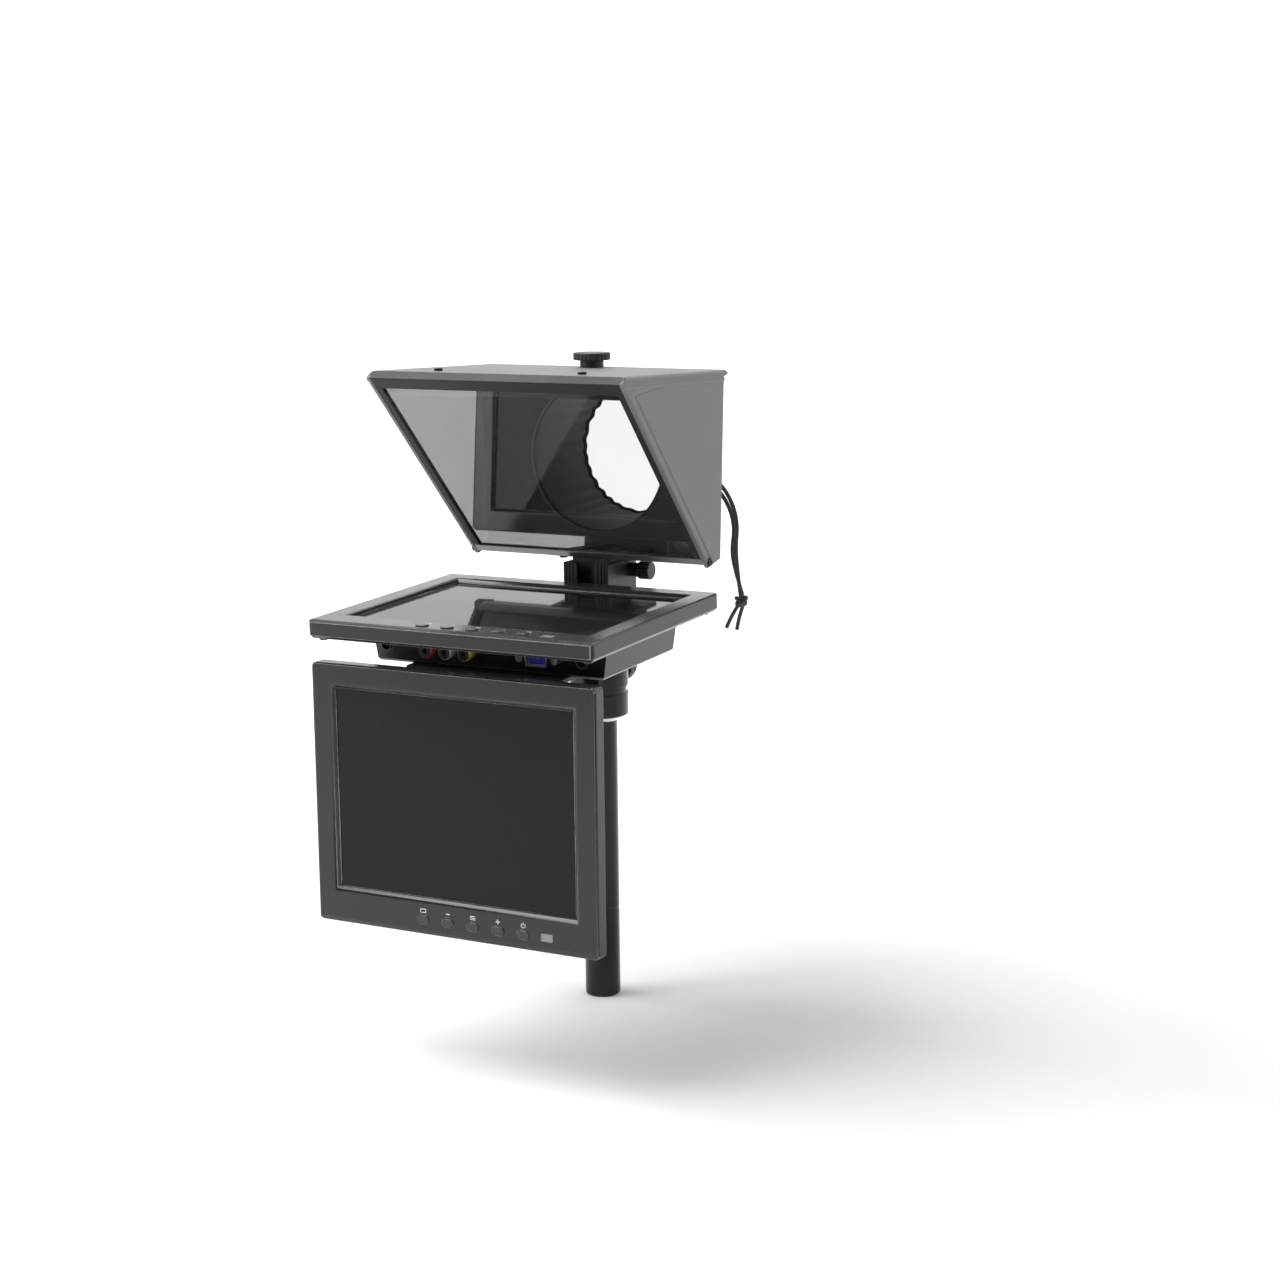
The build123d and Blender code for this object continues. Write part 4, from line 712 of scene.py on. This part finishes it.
def shell_point(side, kind, value, column, columns):
    """Outer and inner point of the shell at one place of the grid."""
    if kind == "level":
        return cheek_point(side, value, column)
    if kind == "rail":
        out = dict(RAIL_STEP)[value]
        spread = column / (columns - 1)
        y = RIM_TOP[0] + 0.4 * MM + (CHEEK_REAR[0] - RIM_TOP[0]) * spread
        z = roof_z(y) - SHOULDER - value * MM
        y = max(y, rim_y(z))
        x = hood_half(z)
        return Vector((side * (x + out * MM), y, z)), Vector((side * (x - WALL), y, z))
    spread = column / (columns - 1)
    lean = 1.0 if kind == "roof" else math.sin(value)
    front = RIM_TOP[0] + (ROOF_FRONT[0] - RIM_TOP[0]) * lean
    rear = CHEEK_REAR[0] + (ROOF_REAR[0] - CHEEK_REAR[0]) * min(1.0, 3 * lean)
    y = front + (rear - front) * spread
    if kind == "arc":
        z = roof_z(y) - SHOULDER * (1 - math.sin(value))
        x = hood_half(z) - SHOULDER * (1 - math.cos(value))
        outer = Vector((side * x, y, z))
        return outer, outer - WALL * Vector((side * math.cos(value), 0, math.sin(value)))
    outer = Vector((value * (hood_half(roof_z(y)) - SHOULDER), y, roof_z(y)))
    return outer, outer - Vector((0, 0, WALL))


def make_hood_shell():
    rows = section_rows()
    columns = len(BEAD) + SPREAD_COLUMNS
    bm = bmesh.new()
    places = [[shell_point(*row, c, columns) for c in range(columns)] for row in rows]
    outer, inner = ([[bm.verts.new(pair[which]) for pair in row] for row in places]
                    for which in (0, 1))
    for grid in (outer, inner):
        for lower, upper in zip(grid, grid[1:]):
            bridge(bm, lower, upper, closed=False)
    rims = [([row[c] for row in outer], [row[c] for row in inner]) for c in (0, columns - 1)]
    rims += [(outer[r], inner[r]) for r in (0, len(rows) - 1)]
    for edge, back in rims:
        bridge(bm, edge, back, closed=False)
    bmesh.ops.remove_doubles(bm, verts=bm.verts, dist=1e-5)
    shell = place_piece("hood_moulding", mesh_from(bm, "hood_moulding"), "hood", "hood_plastic",
                        replaces=["hood_shell"])
    add_bevel(shell, 0.0003, segments=2, angle=math.radians(50))
    return shell


hood = make_hood_shell()
print("hood grid faces:", len(hood.data.polygons))

# %% [markdown]
# The front of the roof is thicker than the rest, because the glass and its rubber hang from it.
# It is a short solid nose between the cheeks, so it is a bar of its own with the roof's slope. It
# wears the black rubber, partly because the strip round the glass covers it and partly as painted
# shade on a face that looks down and forward.

# %% Hood nose
NOSE_DEPTH, NOSE_INSET = 5.2 * MM, 1.0 * MM


def make_nose(outline):
    """Bar with a Y-Z outline that reaches from cheek to cheek and leans with them."""
    bm = bmesh.new()
    left, right = ([bm.verts.new((side * (hood_half(z) - NOSE_INSET), y, z)) for y, z in outline]
                   for side in (-1, 1))
    bm.faces.new(left)
    bm.faces.new(list(reversed(right)))
    bridge(bm, left, right)
    # Black rubber here is partly the glass strip, partly painted shade on the down-facing nose.
    bar = place_piece("hood_nose", mesh_from(bm, "hood_nose"), "hood", "seal_rubber")
    add_bevel(bar, 0.0009)
    return bar


nose_rear = RIM_TOP[0] + NOSE_DEPTH
make_nose([RIM_TOP, (ROOF_FRONT[0], ROOF_FRONT[1] - 0.1 * MM),
           (nose_rear, roof_z(nose_rear) - WALL / 2), (nose_rear, RIM_TOP[1])])
print("nose depth", round(NOSE_DEPTH * 1000, 1), "mm")

# %% [markdown]
# ## The beamsplitter
# The glass is a flat sheet with ground edges. Its CAD solid has the right shape, but all of its
# faces would wear one finish. A copy lets the film sit on the front face only: the face whose
# normal points down and towards the presenter.

# %% Beamsplitter


def make_beamsplitter():
    mesh = plain_copy("beamsplitter_glass")
    sheet = place_piece("beamsplitter_sheet", mesh, "hood", "beamsplitter", material=FILM,
                        replaces=["beamsplitter_glass"])
    sheet.data.materials.append(CLEAR)
    for face in mesh.polygons:
        is_film = face.normal.y < -0.6 and face.normal.z < -0.5
        face.material_index = 0 if is_film else 1
    return sheet


splitter = make_beamsplitter()
print("glass faces with film:", sum(f.material_index == 0 for f in splitter.data.polygons))

# %% [markdown]
# ## The lens shroud
# The shroud is a sleeve of stretch cloth. It is flat where the ring clamps it, then it gathers
# towards the hem, where the draw cord pulls it in. A simulation would need the lens to press
# against. The gathers are drawn instead: ripples whose depth grows towards the hem, with
# uneven spacing so that no two folds match. Next to the plain rectangle of the flat size, the
# cloth has 0.86 of the area.

# %% Lens shroud
SHROUD_LOW, SHROUD_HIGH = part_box("lens_shroud")
LENS_AXIS_Z = (SHROUD_LOW.z + SHROUD_HIGH.z) / 2
CLOTH_T = 0.8 * MM
MOUTH_R, HEM_R = 49.4 * MM, 44.6 * MM
FUNNEL_START, HEM_START, HEM_END = SHROUD_LOW.y + 1.0 * MM, SHROUD_LOW.y + 57.5 * MM, SHROUD_HIGH.y
SHROUD_TURNS, SHROUD_RINGS = 288, 40
FOLDS, RIPPLE = 30, 0.75 * MM
FLANGE_OUTER, FLANGE_INNER, HEM_TUBE = 54.6 * MM, 50.6 * MM, 2.2 * MM


def fold_depth(angle, seed):
    """Uneven ripple round the sleeve, from -1 to 1."""
    wobble = 0.5 * math.sin(3 * angle + seed) + 0.35 * math.sin(7 * angle + 2.1 * seed)
    return math.sin(FOLDS * angle + 2.2 * wobble) * (0.75 + 0.25 * math.sin(5 * angle + seed))


def shroud_profile():
    """Rings as (depth, radius, ripple) from the clamped flange to the turned hem."""
    rings = [(SHROUD_LOW.y + CLOTH_T / 2, r, 0.0) for r in (FLANGE_OUTER, FLANGE_INNER)]
    for k in range(SHROUD_RINGS):
        t = k / (SHROUD_RINGS - 1)
        sag = 0.9 * MM * math.sin(math.pi * t)
        rings.append((FUNNEL_START + (HEM_START - FUNNEL_START) * t,
                      MOUTH_R + (HEM_R - MOUTH_R) * t ** 0.8 - sag, 0.15 + 0.85 * t * t))
    centre_y, centre_r = HEM_END - HEM_TUBE - CLOTH_T / 2, HEM_R + 0.9 * MM
    for k in range(13):
        a = math.radians(200 - k * 25)
        rings.append((centre_y + HEM_TUBE * math.cos(a), centre_r + HEM_TUBE * math.sin(a), 1.0))
    return rings


def make_shroud():
    bm = bmesh.new()
    uv_layer = bm.loops.layers.uv.new("UVMap")
    rings = []
    profile = shroud_profile()
    run = 0.0
    for k, (y, radius, ripple) in enumerate(profile):
        if k:
            run += math.hypot(y - profile[k - 1][0], radius - profile[k - 1][1])
        ring = []
        for s in range(SHROUD_TURNS):
            a = 2 * math.pi * s / SHROUD_TURNS
            r = radius + RIPPLE * ripple * fold_depth(a, 0.7 + 0.4 * ripple)
            ring.append(bm.verts.new((r * math.cos(a), y, LENS_AXIS_Z + r * math.sin(a))))
        rings.append((ring, run))
    for (inner, v0), (outer, v1) in zip(rings, rings[1:]):
        for s, face in enumerate(bridge(bm, inner, outer)):
            face.smooth = True
            corners = ((s, v0), (s + 1, v0), (s + 1, v1), (s, v1))
            for loop, (turn, v) in zip(face.loops, corners):
                loop[uv_layer].uv = (turn / SHROUD_TURNS, v / run)
    mesh = mesh_from(bm, "shroud_sleeve")
    sleeve = place_piece("shroud_sleeve", mesh, "hood", "shroud_fabric", replaces=["lens_shroud"])
    wall = sleeve.modifiers.new("cloth", "SOLIDIFY")
    wall.thickness, wall.offset = CLOTH_T, 0.0
    return sleeve, run, sum(f.area for f in mesh.polygons)


sleeve, sleeve_length, sleeve_area = make_shroud()
print("sleeve", round(sleeve_length * 1000), "mm long, area", round(sleeve_area * 1e4), "cm2")

# %% [markdown]
# ## The braided cord
# The cord is a round braid: eight yarns wind one way and eight the other, and each passes over one
# and under the next. The yarns are thin tubes round the path that was read from each strand's
# line. Their radius from the middle swings in and out as they cross, which is what a braid is.

# %% Frames along a path and yarns round it
YARNS, YARN_R, BRAID_PITCH, STEPS_PER_PITCH = 8, 0.00034, 0.0078, 26


def even_points(places, step):
    """The same path at even steps."""
    out, left = [places[0]], step
    for a, b in zip(places, places[1:]):
        run = (b - a).length
        done = 0.0
        while run - done >= left:
            done += left
            out.append(a.lerp(b, done / run))
            left = step
        left -= run - done
    return out


def frames_along(places):
    """Sideways and upward unit vectors that turn as little as possible along the path."""
    frames, side = [], None
    for k in range(len(places)):
        tangent = (places[min(k + 1, len(places) - 1)] - places[max(k - 1, 0)]).normalized()
        if side is None:
            side = tangent.orthogonal().normalized()
        side = (side - tangent * side.dot(tangent)).normalized()
        frames.append((side, tangent.cross(side)))
    return frames


def tube_through(bm, uv_layer, centres, radius, sides, index):
    """Closed tube through centres, with its own UVs and a material index."""
    rings = [[bm.verts.new(place) for place in circle(centre, side, up, radius, sides)]
             for centre, (side, up) in zip(centres, frames_along(centres))]
    for n, (lower, upper) in enumerate(zip(rings, rings[1:])):
        for k, face in enumerate(bridge(bm, lower, upper)):
            face.smooth, face.material_index = True, index
            for loop, (u, v) in zip(face.loops, ((k, n), (k + 1, n), (k + 1, n + 1), (k, n + 1))):
                loop[uv_layer].uv = (u / sides, v / len(rings))
    for ring in (rings[0], rings[-1]):
        bm.faces.new(ring).material_index = index


def braid(name, places, radius, body, replaces=()):
    """Round braid of two sets of yarns over a core, as one mesh."""
    steps = even_points(places, BRAID_PITCH / STEPS_PER_PITCH)
    frames = frames_along(steps)
    bm = bmesh.new()
    uv_layer = bm.loops.layers.uv.new("UVMap")
    tube_through(bm, uv_layer, steps, radius - 2.2 * YARN_R, 10, 0)
    for way in (-1, 1):
        for yarn in range(YARNS):
            centres = []
            for k, (place, (side, up)) in enumerate(zip(steps, frames)):
                along = k / STEPS_PER_PITCH
                a = way * 2 * math.pi * along + 2 * math.pi * yarn / YARNS
                swing = 0.5 * YARN_R * way * math.cos(2 * YARNS * math.pi * along + math.pi * yarn)
                r = radius - 1.35 * YARN_R + swing
                centres.append(place + r * (math.cos(a) * side + math.sin(a) * up))
            tube_through(bm, uv_layer, centres, YARN_R, 5, 1 if yarn % 3 == 0 else 0)
    cord = place_piece(name, mesh_from(bm, name), body, "cord_fabric", replaces=replaces)
    cord.data.materials.append(LIGHT_YARN)
    return cord


# %% Cord strands, knot and tails
def knot_path(centre, half, turns=220):
    """Overhand knot: a trefoil line squeezed into the knot's box."""
    places = []
    for k in range(turns + 1):
        t = 2 * math.pi * k / turns
        x = (math.sin(t) + 2 * math.sin(2 * t)) / 3
        z = (math.cos(t) - 2 * math.cos(2 * t)) / 3
        y = -math.sin(3 * t)
        places.append(centre + Vector((x * half.x, y * half.y, z * half.z)))
    return places


knot_centre = (KNOT_LOW + KNOT_HIGH) / 2
knot_half = (KNOT_HIGH - KNOT_LOW) / 2 - Vector((1, 1, 1)) * CORD_RADIUS * 0.9
knot = braid("cord_overhand_knot", knot_path(knot_centre, knot_half), CORD_RADIUS, "hood",
             replaces=["cord_knot"])
tails = [braid("cord_knot_core", knot_path(knot_centre, knot_half * 0.5), CORD_RADIUS, "hood")]
for name, places in cord_paths.items():
    tails.append(braid(name + "_into_knot", [places[-1], places[-1].lerp(knot_centre, 0.8)],
                       CORD_RADIUS, "hood"))
for k, (line, places) in enumerate(zip(tail_lines, tail_paths)):
    places = [places[0] + (knot_centre - places[0]) * 0.25] + places
    tails.append(braid(f"cord_tail_{k}", places, CORD_RADIUS * 0.96, "hood",
                       replaces=["cord_tails"] if k == 0 else ()))
    bpy.data.objects.remove(line)
for name, places in cord_paths.items():
    strand = braid(name + "_braid", places, CORD_RADIUS, "hood", replaces=[name])
    bpy.data.objects.remove(cord_lines[name])
print("cord strands:", len(cord_paths), "tails:", len(tails))

# %% [markdown]
# ## Sockets on the monitors
# Each phono socket is a nylon ring round a plated barrel, and its colour is the whole point of it.
# The rings are small lathe shapes round the CAD barrel. The VGA socket gets its blue insert
# with three rows of pin holes.

# %% Monitor frames of reference
MONITOR_BODY = {"flat": "head", "talent": "talent_monitor"}
FLAT_PITCH = 2.2                   # degrees that the flat monitor dips to the front


def monitor_axes(prefix):
    """Origin and axes of a monitor: X across, Y up its face, Z out of the screen."""
    if prefix == "talent":
        low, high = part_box("talent_bezel")
        return Matrix.Translation((0, low.y, high.z)) @ Matrix.Rotation(math.radians(90), 4, "X")
    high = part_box("flat_bezel")[1]
    dip = Matrix.Rotation(math.radians(FLAT_PITCH), 4, "X")
    return Matrix.Translation((0, high.y, high.z)) @ dip


def lathe(bm, origin, axis, profile, segments=40):
    """Spin (distance, radius) pairs round an axis into rings of faces."""
    side = axis.orthogonal().normalized()
    up = axis.cross(side)
    rings = [[bm.verts.new(place)
              for place in circle(origin + axis * distance, side, up, radius, segments)]
             for distance, radius in profile]
    for lower, upper in zip(rings, rings[1:]):
        for face in bridge(bm, lower, upper):
            face.smooth = True


def mesh_piece(name, build, body, slot, material=None):
    """Run a function that fills a bmesh, then place the result."""
    bm = bmesh.new()
    build(bm)
    return place_piece(name, mesh_from(bm, name), body, slot, material=material)


# %% Phono rings and VGA insert
RCA_X = {"red": -41.2, "white": -27.2, "yellow": -13.2}
JACK_WALL_DOWN, JACK_DEPTH, RCA_REACH = 119.0, 23.5, 8.0
RING_PROFILE = [(-8.0, 4.2), (-8.0, 4.75), (-0.9, 4.75), (-0.2, 4.6), (0.25, 4.3), (0.25, 2.7),
                (-0.1, 2.5), (-1.5, 2.5), (-1.5, 1.75)]
VGA_X, VGA_HALF_W, VGA_HALF_H, VGA_TAPER, VGA_REACH, VGA_DEPTH = 37.8, 7.5, 2.9, 1.2, 4.6, 2.5
PIN_PITCH, PIN_ROWS, PINS_PER_ROW = 2.4, (2.0, 0.0, -2.0), 5
PIN_PROFILE = [(-0.3, 0.55), (0.06, 0.55), (0.06, 0.01)]


def local_point(matrix, x, y, z):
    return matrix @ Vector((x * MM, y * MM, z * MM))


def down_axis(matrix):
    return (matrix.to_3x3() @ Vector((0, -1, 0))).normalized()


def add_phono_rings(prefix, body, matrix):
    axis = down_axis(matrix)
    profile = [(d * MM, r * MM) for d, r in RING_PROFILE]
    for colour, x in RCA_X.items():
        mouth = local_point(matrix, x, -JACK_WALL_DOWN - RCA_REACH, -JACK_DEPTH)
        mesh_piece(f"{prefix}_phono_{colour}", lambda bm: lathe(bm, mouth, axis, profile), body,
                   "jack_plastic", SOCKET_COLOURS[colour])


def add_vga_insert(prefix, body, matrix):
    def build(bm):
        y = -JACK_WALL_DOWN - VGA_REACH
        shape = [(-VGA_HALF_W, VGA_HALF_H), (VGA_HALF_W, VGA_HALF_H),
                 (VGA_HALF_W - VGA_TAPER, -VGA_HALF_H), (-VGA_HALF_W + VGA_TAPER, -VGA_HALF_H)]
        front, back = ([bm.verts.new(local_point(matrix, VGA_X + a, depth, -JACK_DEPTH + b))
                        for a, b in shape] for depth in (y, y + VGA_DEPTH))
        bm.faces.new(front)
        bm.faces.new(list(reversed(back)))
        bridge(bm, front, back)
    insert = mesh_piece(f"{prefix}_vga_insert", build, body, "port_blue", SOCKET_COLOURS["blue"])
    add_bevel(insert, 0.0003)

    def pins(bm):
        profile = [(d * MM, r * MM) for d, r in PIN_PROFILE]
        for row, z in enumerate(PIN_ROWS):
            for k in range(PINS_PER_ROW):
                x = VGA_X + (k - 2) * PIN_PITCH + (PIN_PITCH / 4 if row == 1 else 0.0)
                place = local_point(matrix, x, -JACK_WALL_DOWN - VGA_REACH, -JACK_DEPTH + z)
                lathe(bm, place, down_axis(matrix), profile, 12)
    mesh_piece(f"{prefix}_vga_pins", pins, body, "jack_plastic")


for prefix, body in MONITOR_BODY.items():
    axes = monitor_axes(prefix)
    add_phono_rings(prefix, body, axes)
    add_vga_insert(prefix, body, axes)
print("sockets dressed on both monitors")

# %% [markdown]
# ## Marks above the buttons
# The buttons carry printed marks. They are plain signs that any maker uses: a frame, a minus, three
# bars, a plus and the power sign. Printed ink is a few hundredths of a millimetre thick, so each
# mark is a thin raised shape and not a texture.

# %% Button marks
BUTTON_X = [-22.7 + 18.02 * k for k in range(5)]
MARK_UP = 15.4                     # mark centres above the monitor's lower edge
INK, INK_ROOT = 0.06, 0.02         # ink above the face, and how far it sinks in
MONITOR_H = 166.5


def ink_strip(bm, matrix, points, width):
    """Line of ink: each run becomes a thin raised bar."""
    for (x0, y0), (x1, y1) in zip(points, points[1:]):
        run = Vector((x1 - x0, y1 - y0))
        across = Vector((-run.y, run.x)).normalized() * width / 2
        ends = [(x0 + across.x, y0 + across.y), (x1 + across.x, y1 + across.y),
                (x1 - across.x, y1 - across.y), (x0 - across.x, y0 - across.y)]
        top, low = ([bm.verts.new(local_point(matrix, x, y, z)) for x, y in ends]
                    for z in (INK, -INK_ROOT))
        bm.faces.new(top)
        bridge(bm, top, low)


def circle_points(x, y, r, start, end, steps=16):
    turns = (math.radians(start + (end - start) * k / steps) for k in range(steps + 1))
    return [(x + r * math.cos(a), y + r * math.sin(a)) for a in turns]


def mark_strokes(x, y):
    """Five marks as lists of (line, width), one for each button."""
    frame_line = [(-1.9, -1.1), (1.9, -1.1), (1.9, 1.1), (-1.9, 1.1), (-1.9, -1.1)]
    at = lambda shape, k: [(x[k] + a, y + b) for a, b in shape]
    return [(at(frame_line, 0), 0.45), (at([(-1.4, 0), (1.4, 0)], 1), 0.6),
            (at([(-1.9, 1.0), (1.9, 1.0)], 2), 0.45), (at([(-1.9, 0), (1.9, 0)], 2), 0.45),
            (at([(-1.9, -1.0), (1.9, -1.0)], 2), 0.45),
            (at([(-1.5, 0), (1.5, 0)], 3), 0.55), (at([(0, -1.5), (0, 1.5)], 3), 0.55),
            (circle_points(x[4], y, 1.4, 125, 415), 0.45), (at([(0, 0.2), (0, 2.0)], 4), 0.45)]


for prefix, body in MONITOR_BODY.items():
    axes = monitor_axes(prefix)
    strokes = mark_strokes(BUTTON_X, -MONITOR_H + MARK_UP)
    mesh_piece(f"{prefix}_button_marks",
               lambda bm: [ink_strip(bm, axes, line, width) for line, width in strokes], body,
               "button_plastic", WHITE_PRINT)
print("marks printed:", 2 * len(BUTTON_X))

# %% [markdown]
# ## Stage and light
# The object stands in a white studio. The floor and the wall are one swept sheet, and its rear
# part glows a little, as a translucent sweep lit from behind does. The room is bright behind the
# object and dark in front of it: black plastic shows mostly what it mirrors, so a dark side keeps
# it black. One overhead panel lights the roof and draws the bright lines on every upper edge, a
# soft panel at the left front shades the faces from left to right, a narrow strip on the right
# lifts that side, and a small low fill reaches the sockets under the flat monitor.

# %% Stage
STAGE_HALF, WALL_START, WALL_RISE, SWEEP_R = 4.0, 1.6, 3.2, 0.6
GLOW_FROM, GLOW_TO, GLOW = 0.0, 0.9, 0.62      # where in Y the sweep starts to glow, and how much
FLOOR_Z = CAD_BOX[0][2]


def make_stage():
    bm = bmesh.new()
    outline = [(-STAGE_HALF, 0.0), (WALL_START - SWEEP_R, 0.0)]
    outline += [(WALL_START - SWEEP_R + SWEEP_R * math.sin(a), SWEEP_R - SWEEP_R * math.cos(a))
                for a in (math.radians(6 * k) for k in range(1, 16))]
    outline += [(WALL_START, WALL_RISE)]
    rows = [[bm.verts.new((side * STAGE_HALF, y, z + FLOOR_Z)) for side in (-1, 1)]
            for y, z in outline]
    for lower, upper in zip(rows, rows[1:]):
        for face in bridge(bm, lower, upper, closed=False):
            face.smooth = True
    sweep = bpy.data.objects.new("studio_sweep", mesh_from(bm, "studio_sweep", outward=False))
    bpy.context.scene.collection.objects.link(sweep)
    material, tree, shader = new_material("studio_white", Roughness=0.9)
    place = add(tree, "ShaderNodeTexCoord").outputs["Object"]
    depth = add(tree, "ShaderNodeSeparateXYZ", {0: place}).outputs["Y"]
    glow = add(tree, "ShaderNodeMapRange", {0: depth, 1: GLOW_FROM, 2: GLOW_TO, 3: 0.0, 4: GLOW})
    tree.links.new(glow.outputs[0], shader.inputs["Emission Strength"])
    shader.inputs["Emission Color"].default_value = grey(1.0)
    connect(tree, shader, Base_Color=mix_colour(tree, noise(tree, 3.0), grey(0.86), grey(0.9)))
    sweep.data.materials.append(material)


make_stage()
print("stage floor at", round(FLOOR_Z, 4))

# %% Lights and room
LIGHTS = {                         # place, target, size and power in watts
    "overhead_panel": ((-0.55, -0.45, 1.5), (0, -0.1, 0.3), (1.2, 0.9), 26.0),
    "left_panel": ((-1.2, -1.0, 0.6), (0, -0.1, 0.25), (0.6, 1.2), 9.0),
    "right_strip": ((1.4, -0.1, 0.8), (0, 0, 0.35), (0.4, 1.2), 3.5),
    "low_fill": ((0.45, -1.05, 0.10), (0, -0.15, 0.26), (0.3, 0.3), 3.5),
}
FRONT_LEVEL, REAR_LEVEL = 0.06, 1.0
BACKDROP_LEVEL = 0.9               # what a direct look past the sweep shows


def area_light(name, place, target, size, power):
    data = bpy.data.lights.new(name, "AREA")
    data.shape, data.size, data.size_y, data.energy = "RECTANGLE", size[0], size[1], power
    lamp = bpy.data.objects.new(name, data)
    lamp.visible_camera = False
    bpy.context.scene.collection.objects.link(lamp)
    aim = (Vector(target) - Vector(place)).to_track_quat("-Z", "Y")
    lamp.matrix_world = Matrix.Translation(place) @ aim.to_matrix().to_4x4()


def make_room():
    """World that is white behind the object and dark in front of it, by direction."""
    world = bpy.data.worlds.new("studio_room")
    bpy.context.scene.world = world
    world.use_nodes = True
    tree = world.node_tree
    direction = add(tree, "ShaderNodeTexCoord").outputs["Generated"]
    behind = add(tree, "ShaderNodeSeparateXYZ", {0: direction}).outputs["Y"]
    level = add(tree, "ShaderNodeMapRange", {0: behind, 1: -0.1, 2: 0.5, 3: FRONT_LEVEL,
                                             4: REAR_LEVEL})
    seen = add(tree, "ShaderNodeLightPath").outputs["Is Camera Ray"]
    plain = add(tree, "ShaderNodeMix", {0: seen, 2: level.outputs[0], 3: BACKDROP_LEVEL})
    tree.links.new(plain.outputs[0], tree.nodes["Background"].inputs["Strength"])
    tree.nodes["Background"].inputs["Color"].default_value = grey(1.0)


for name, settings in LIGHTS.items():
    area_light(name, *settings)
make_room()
bpy.context.scene.view_settings.view_transform = "Standard"
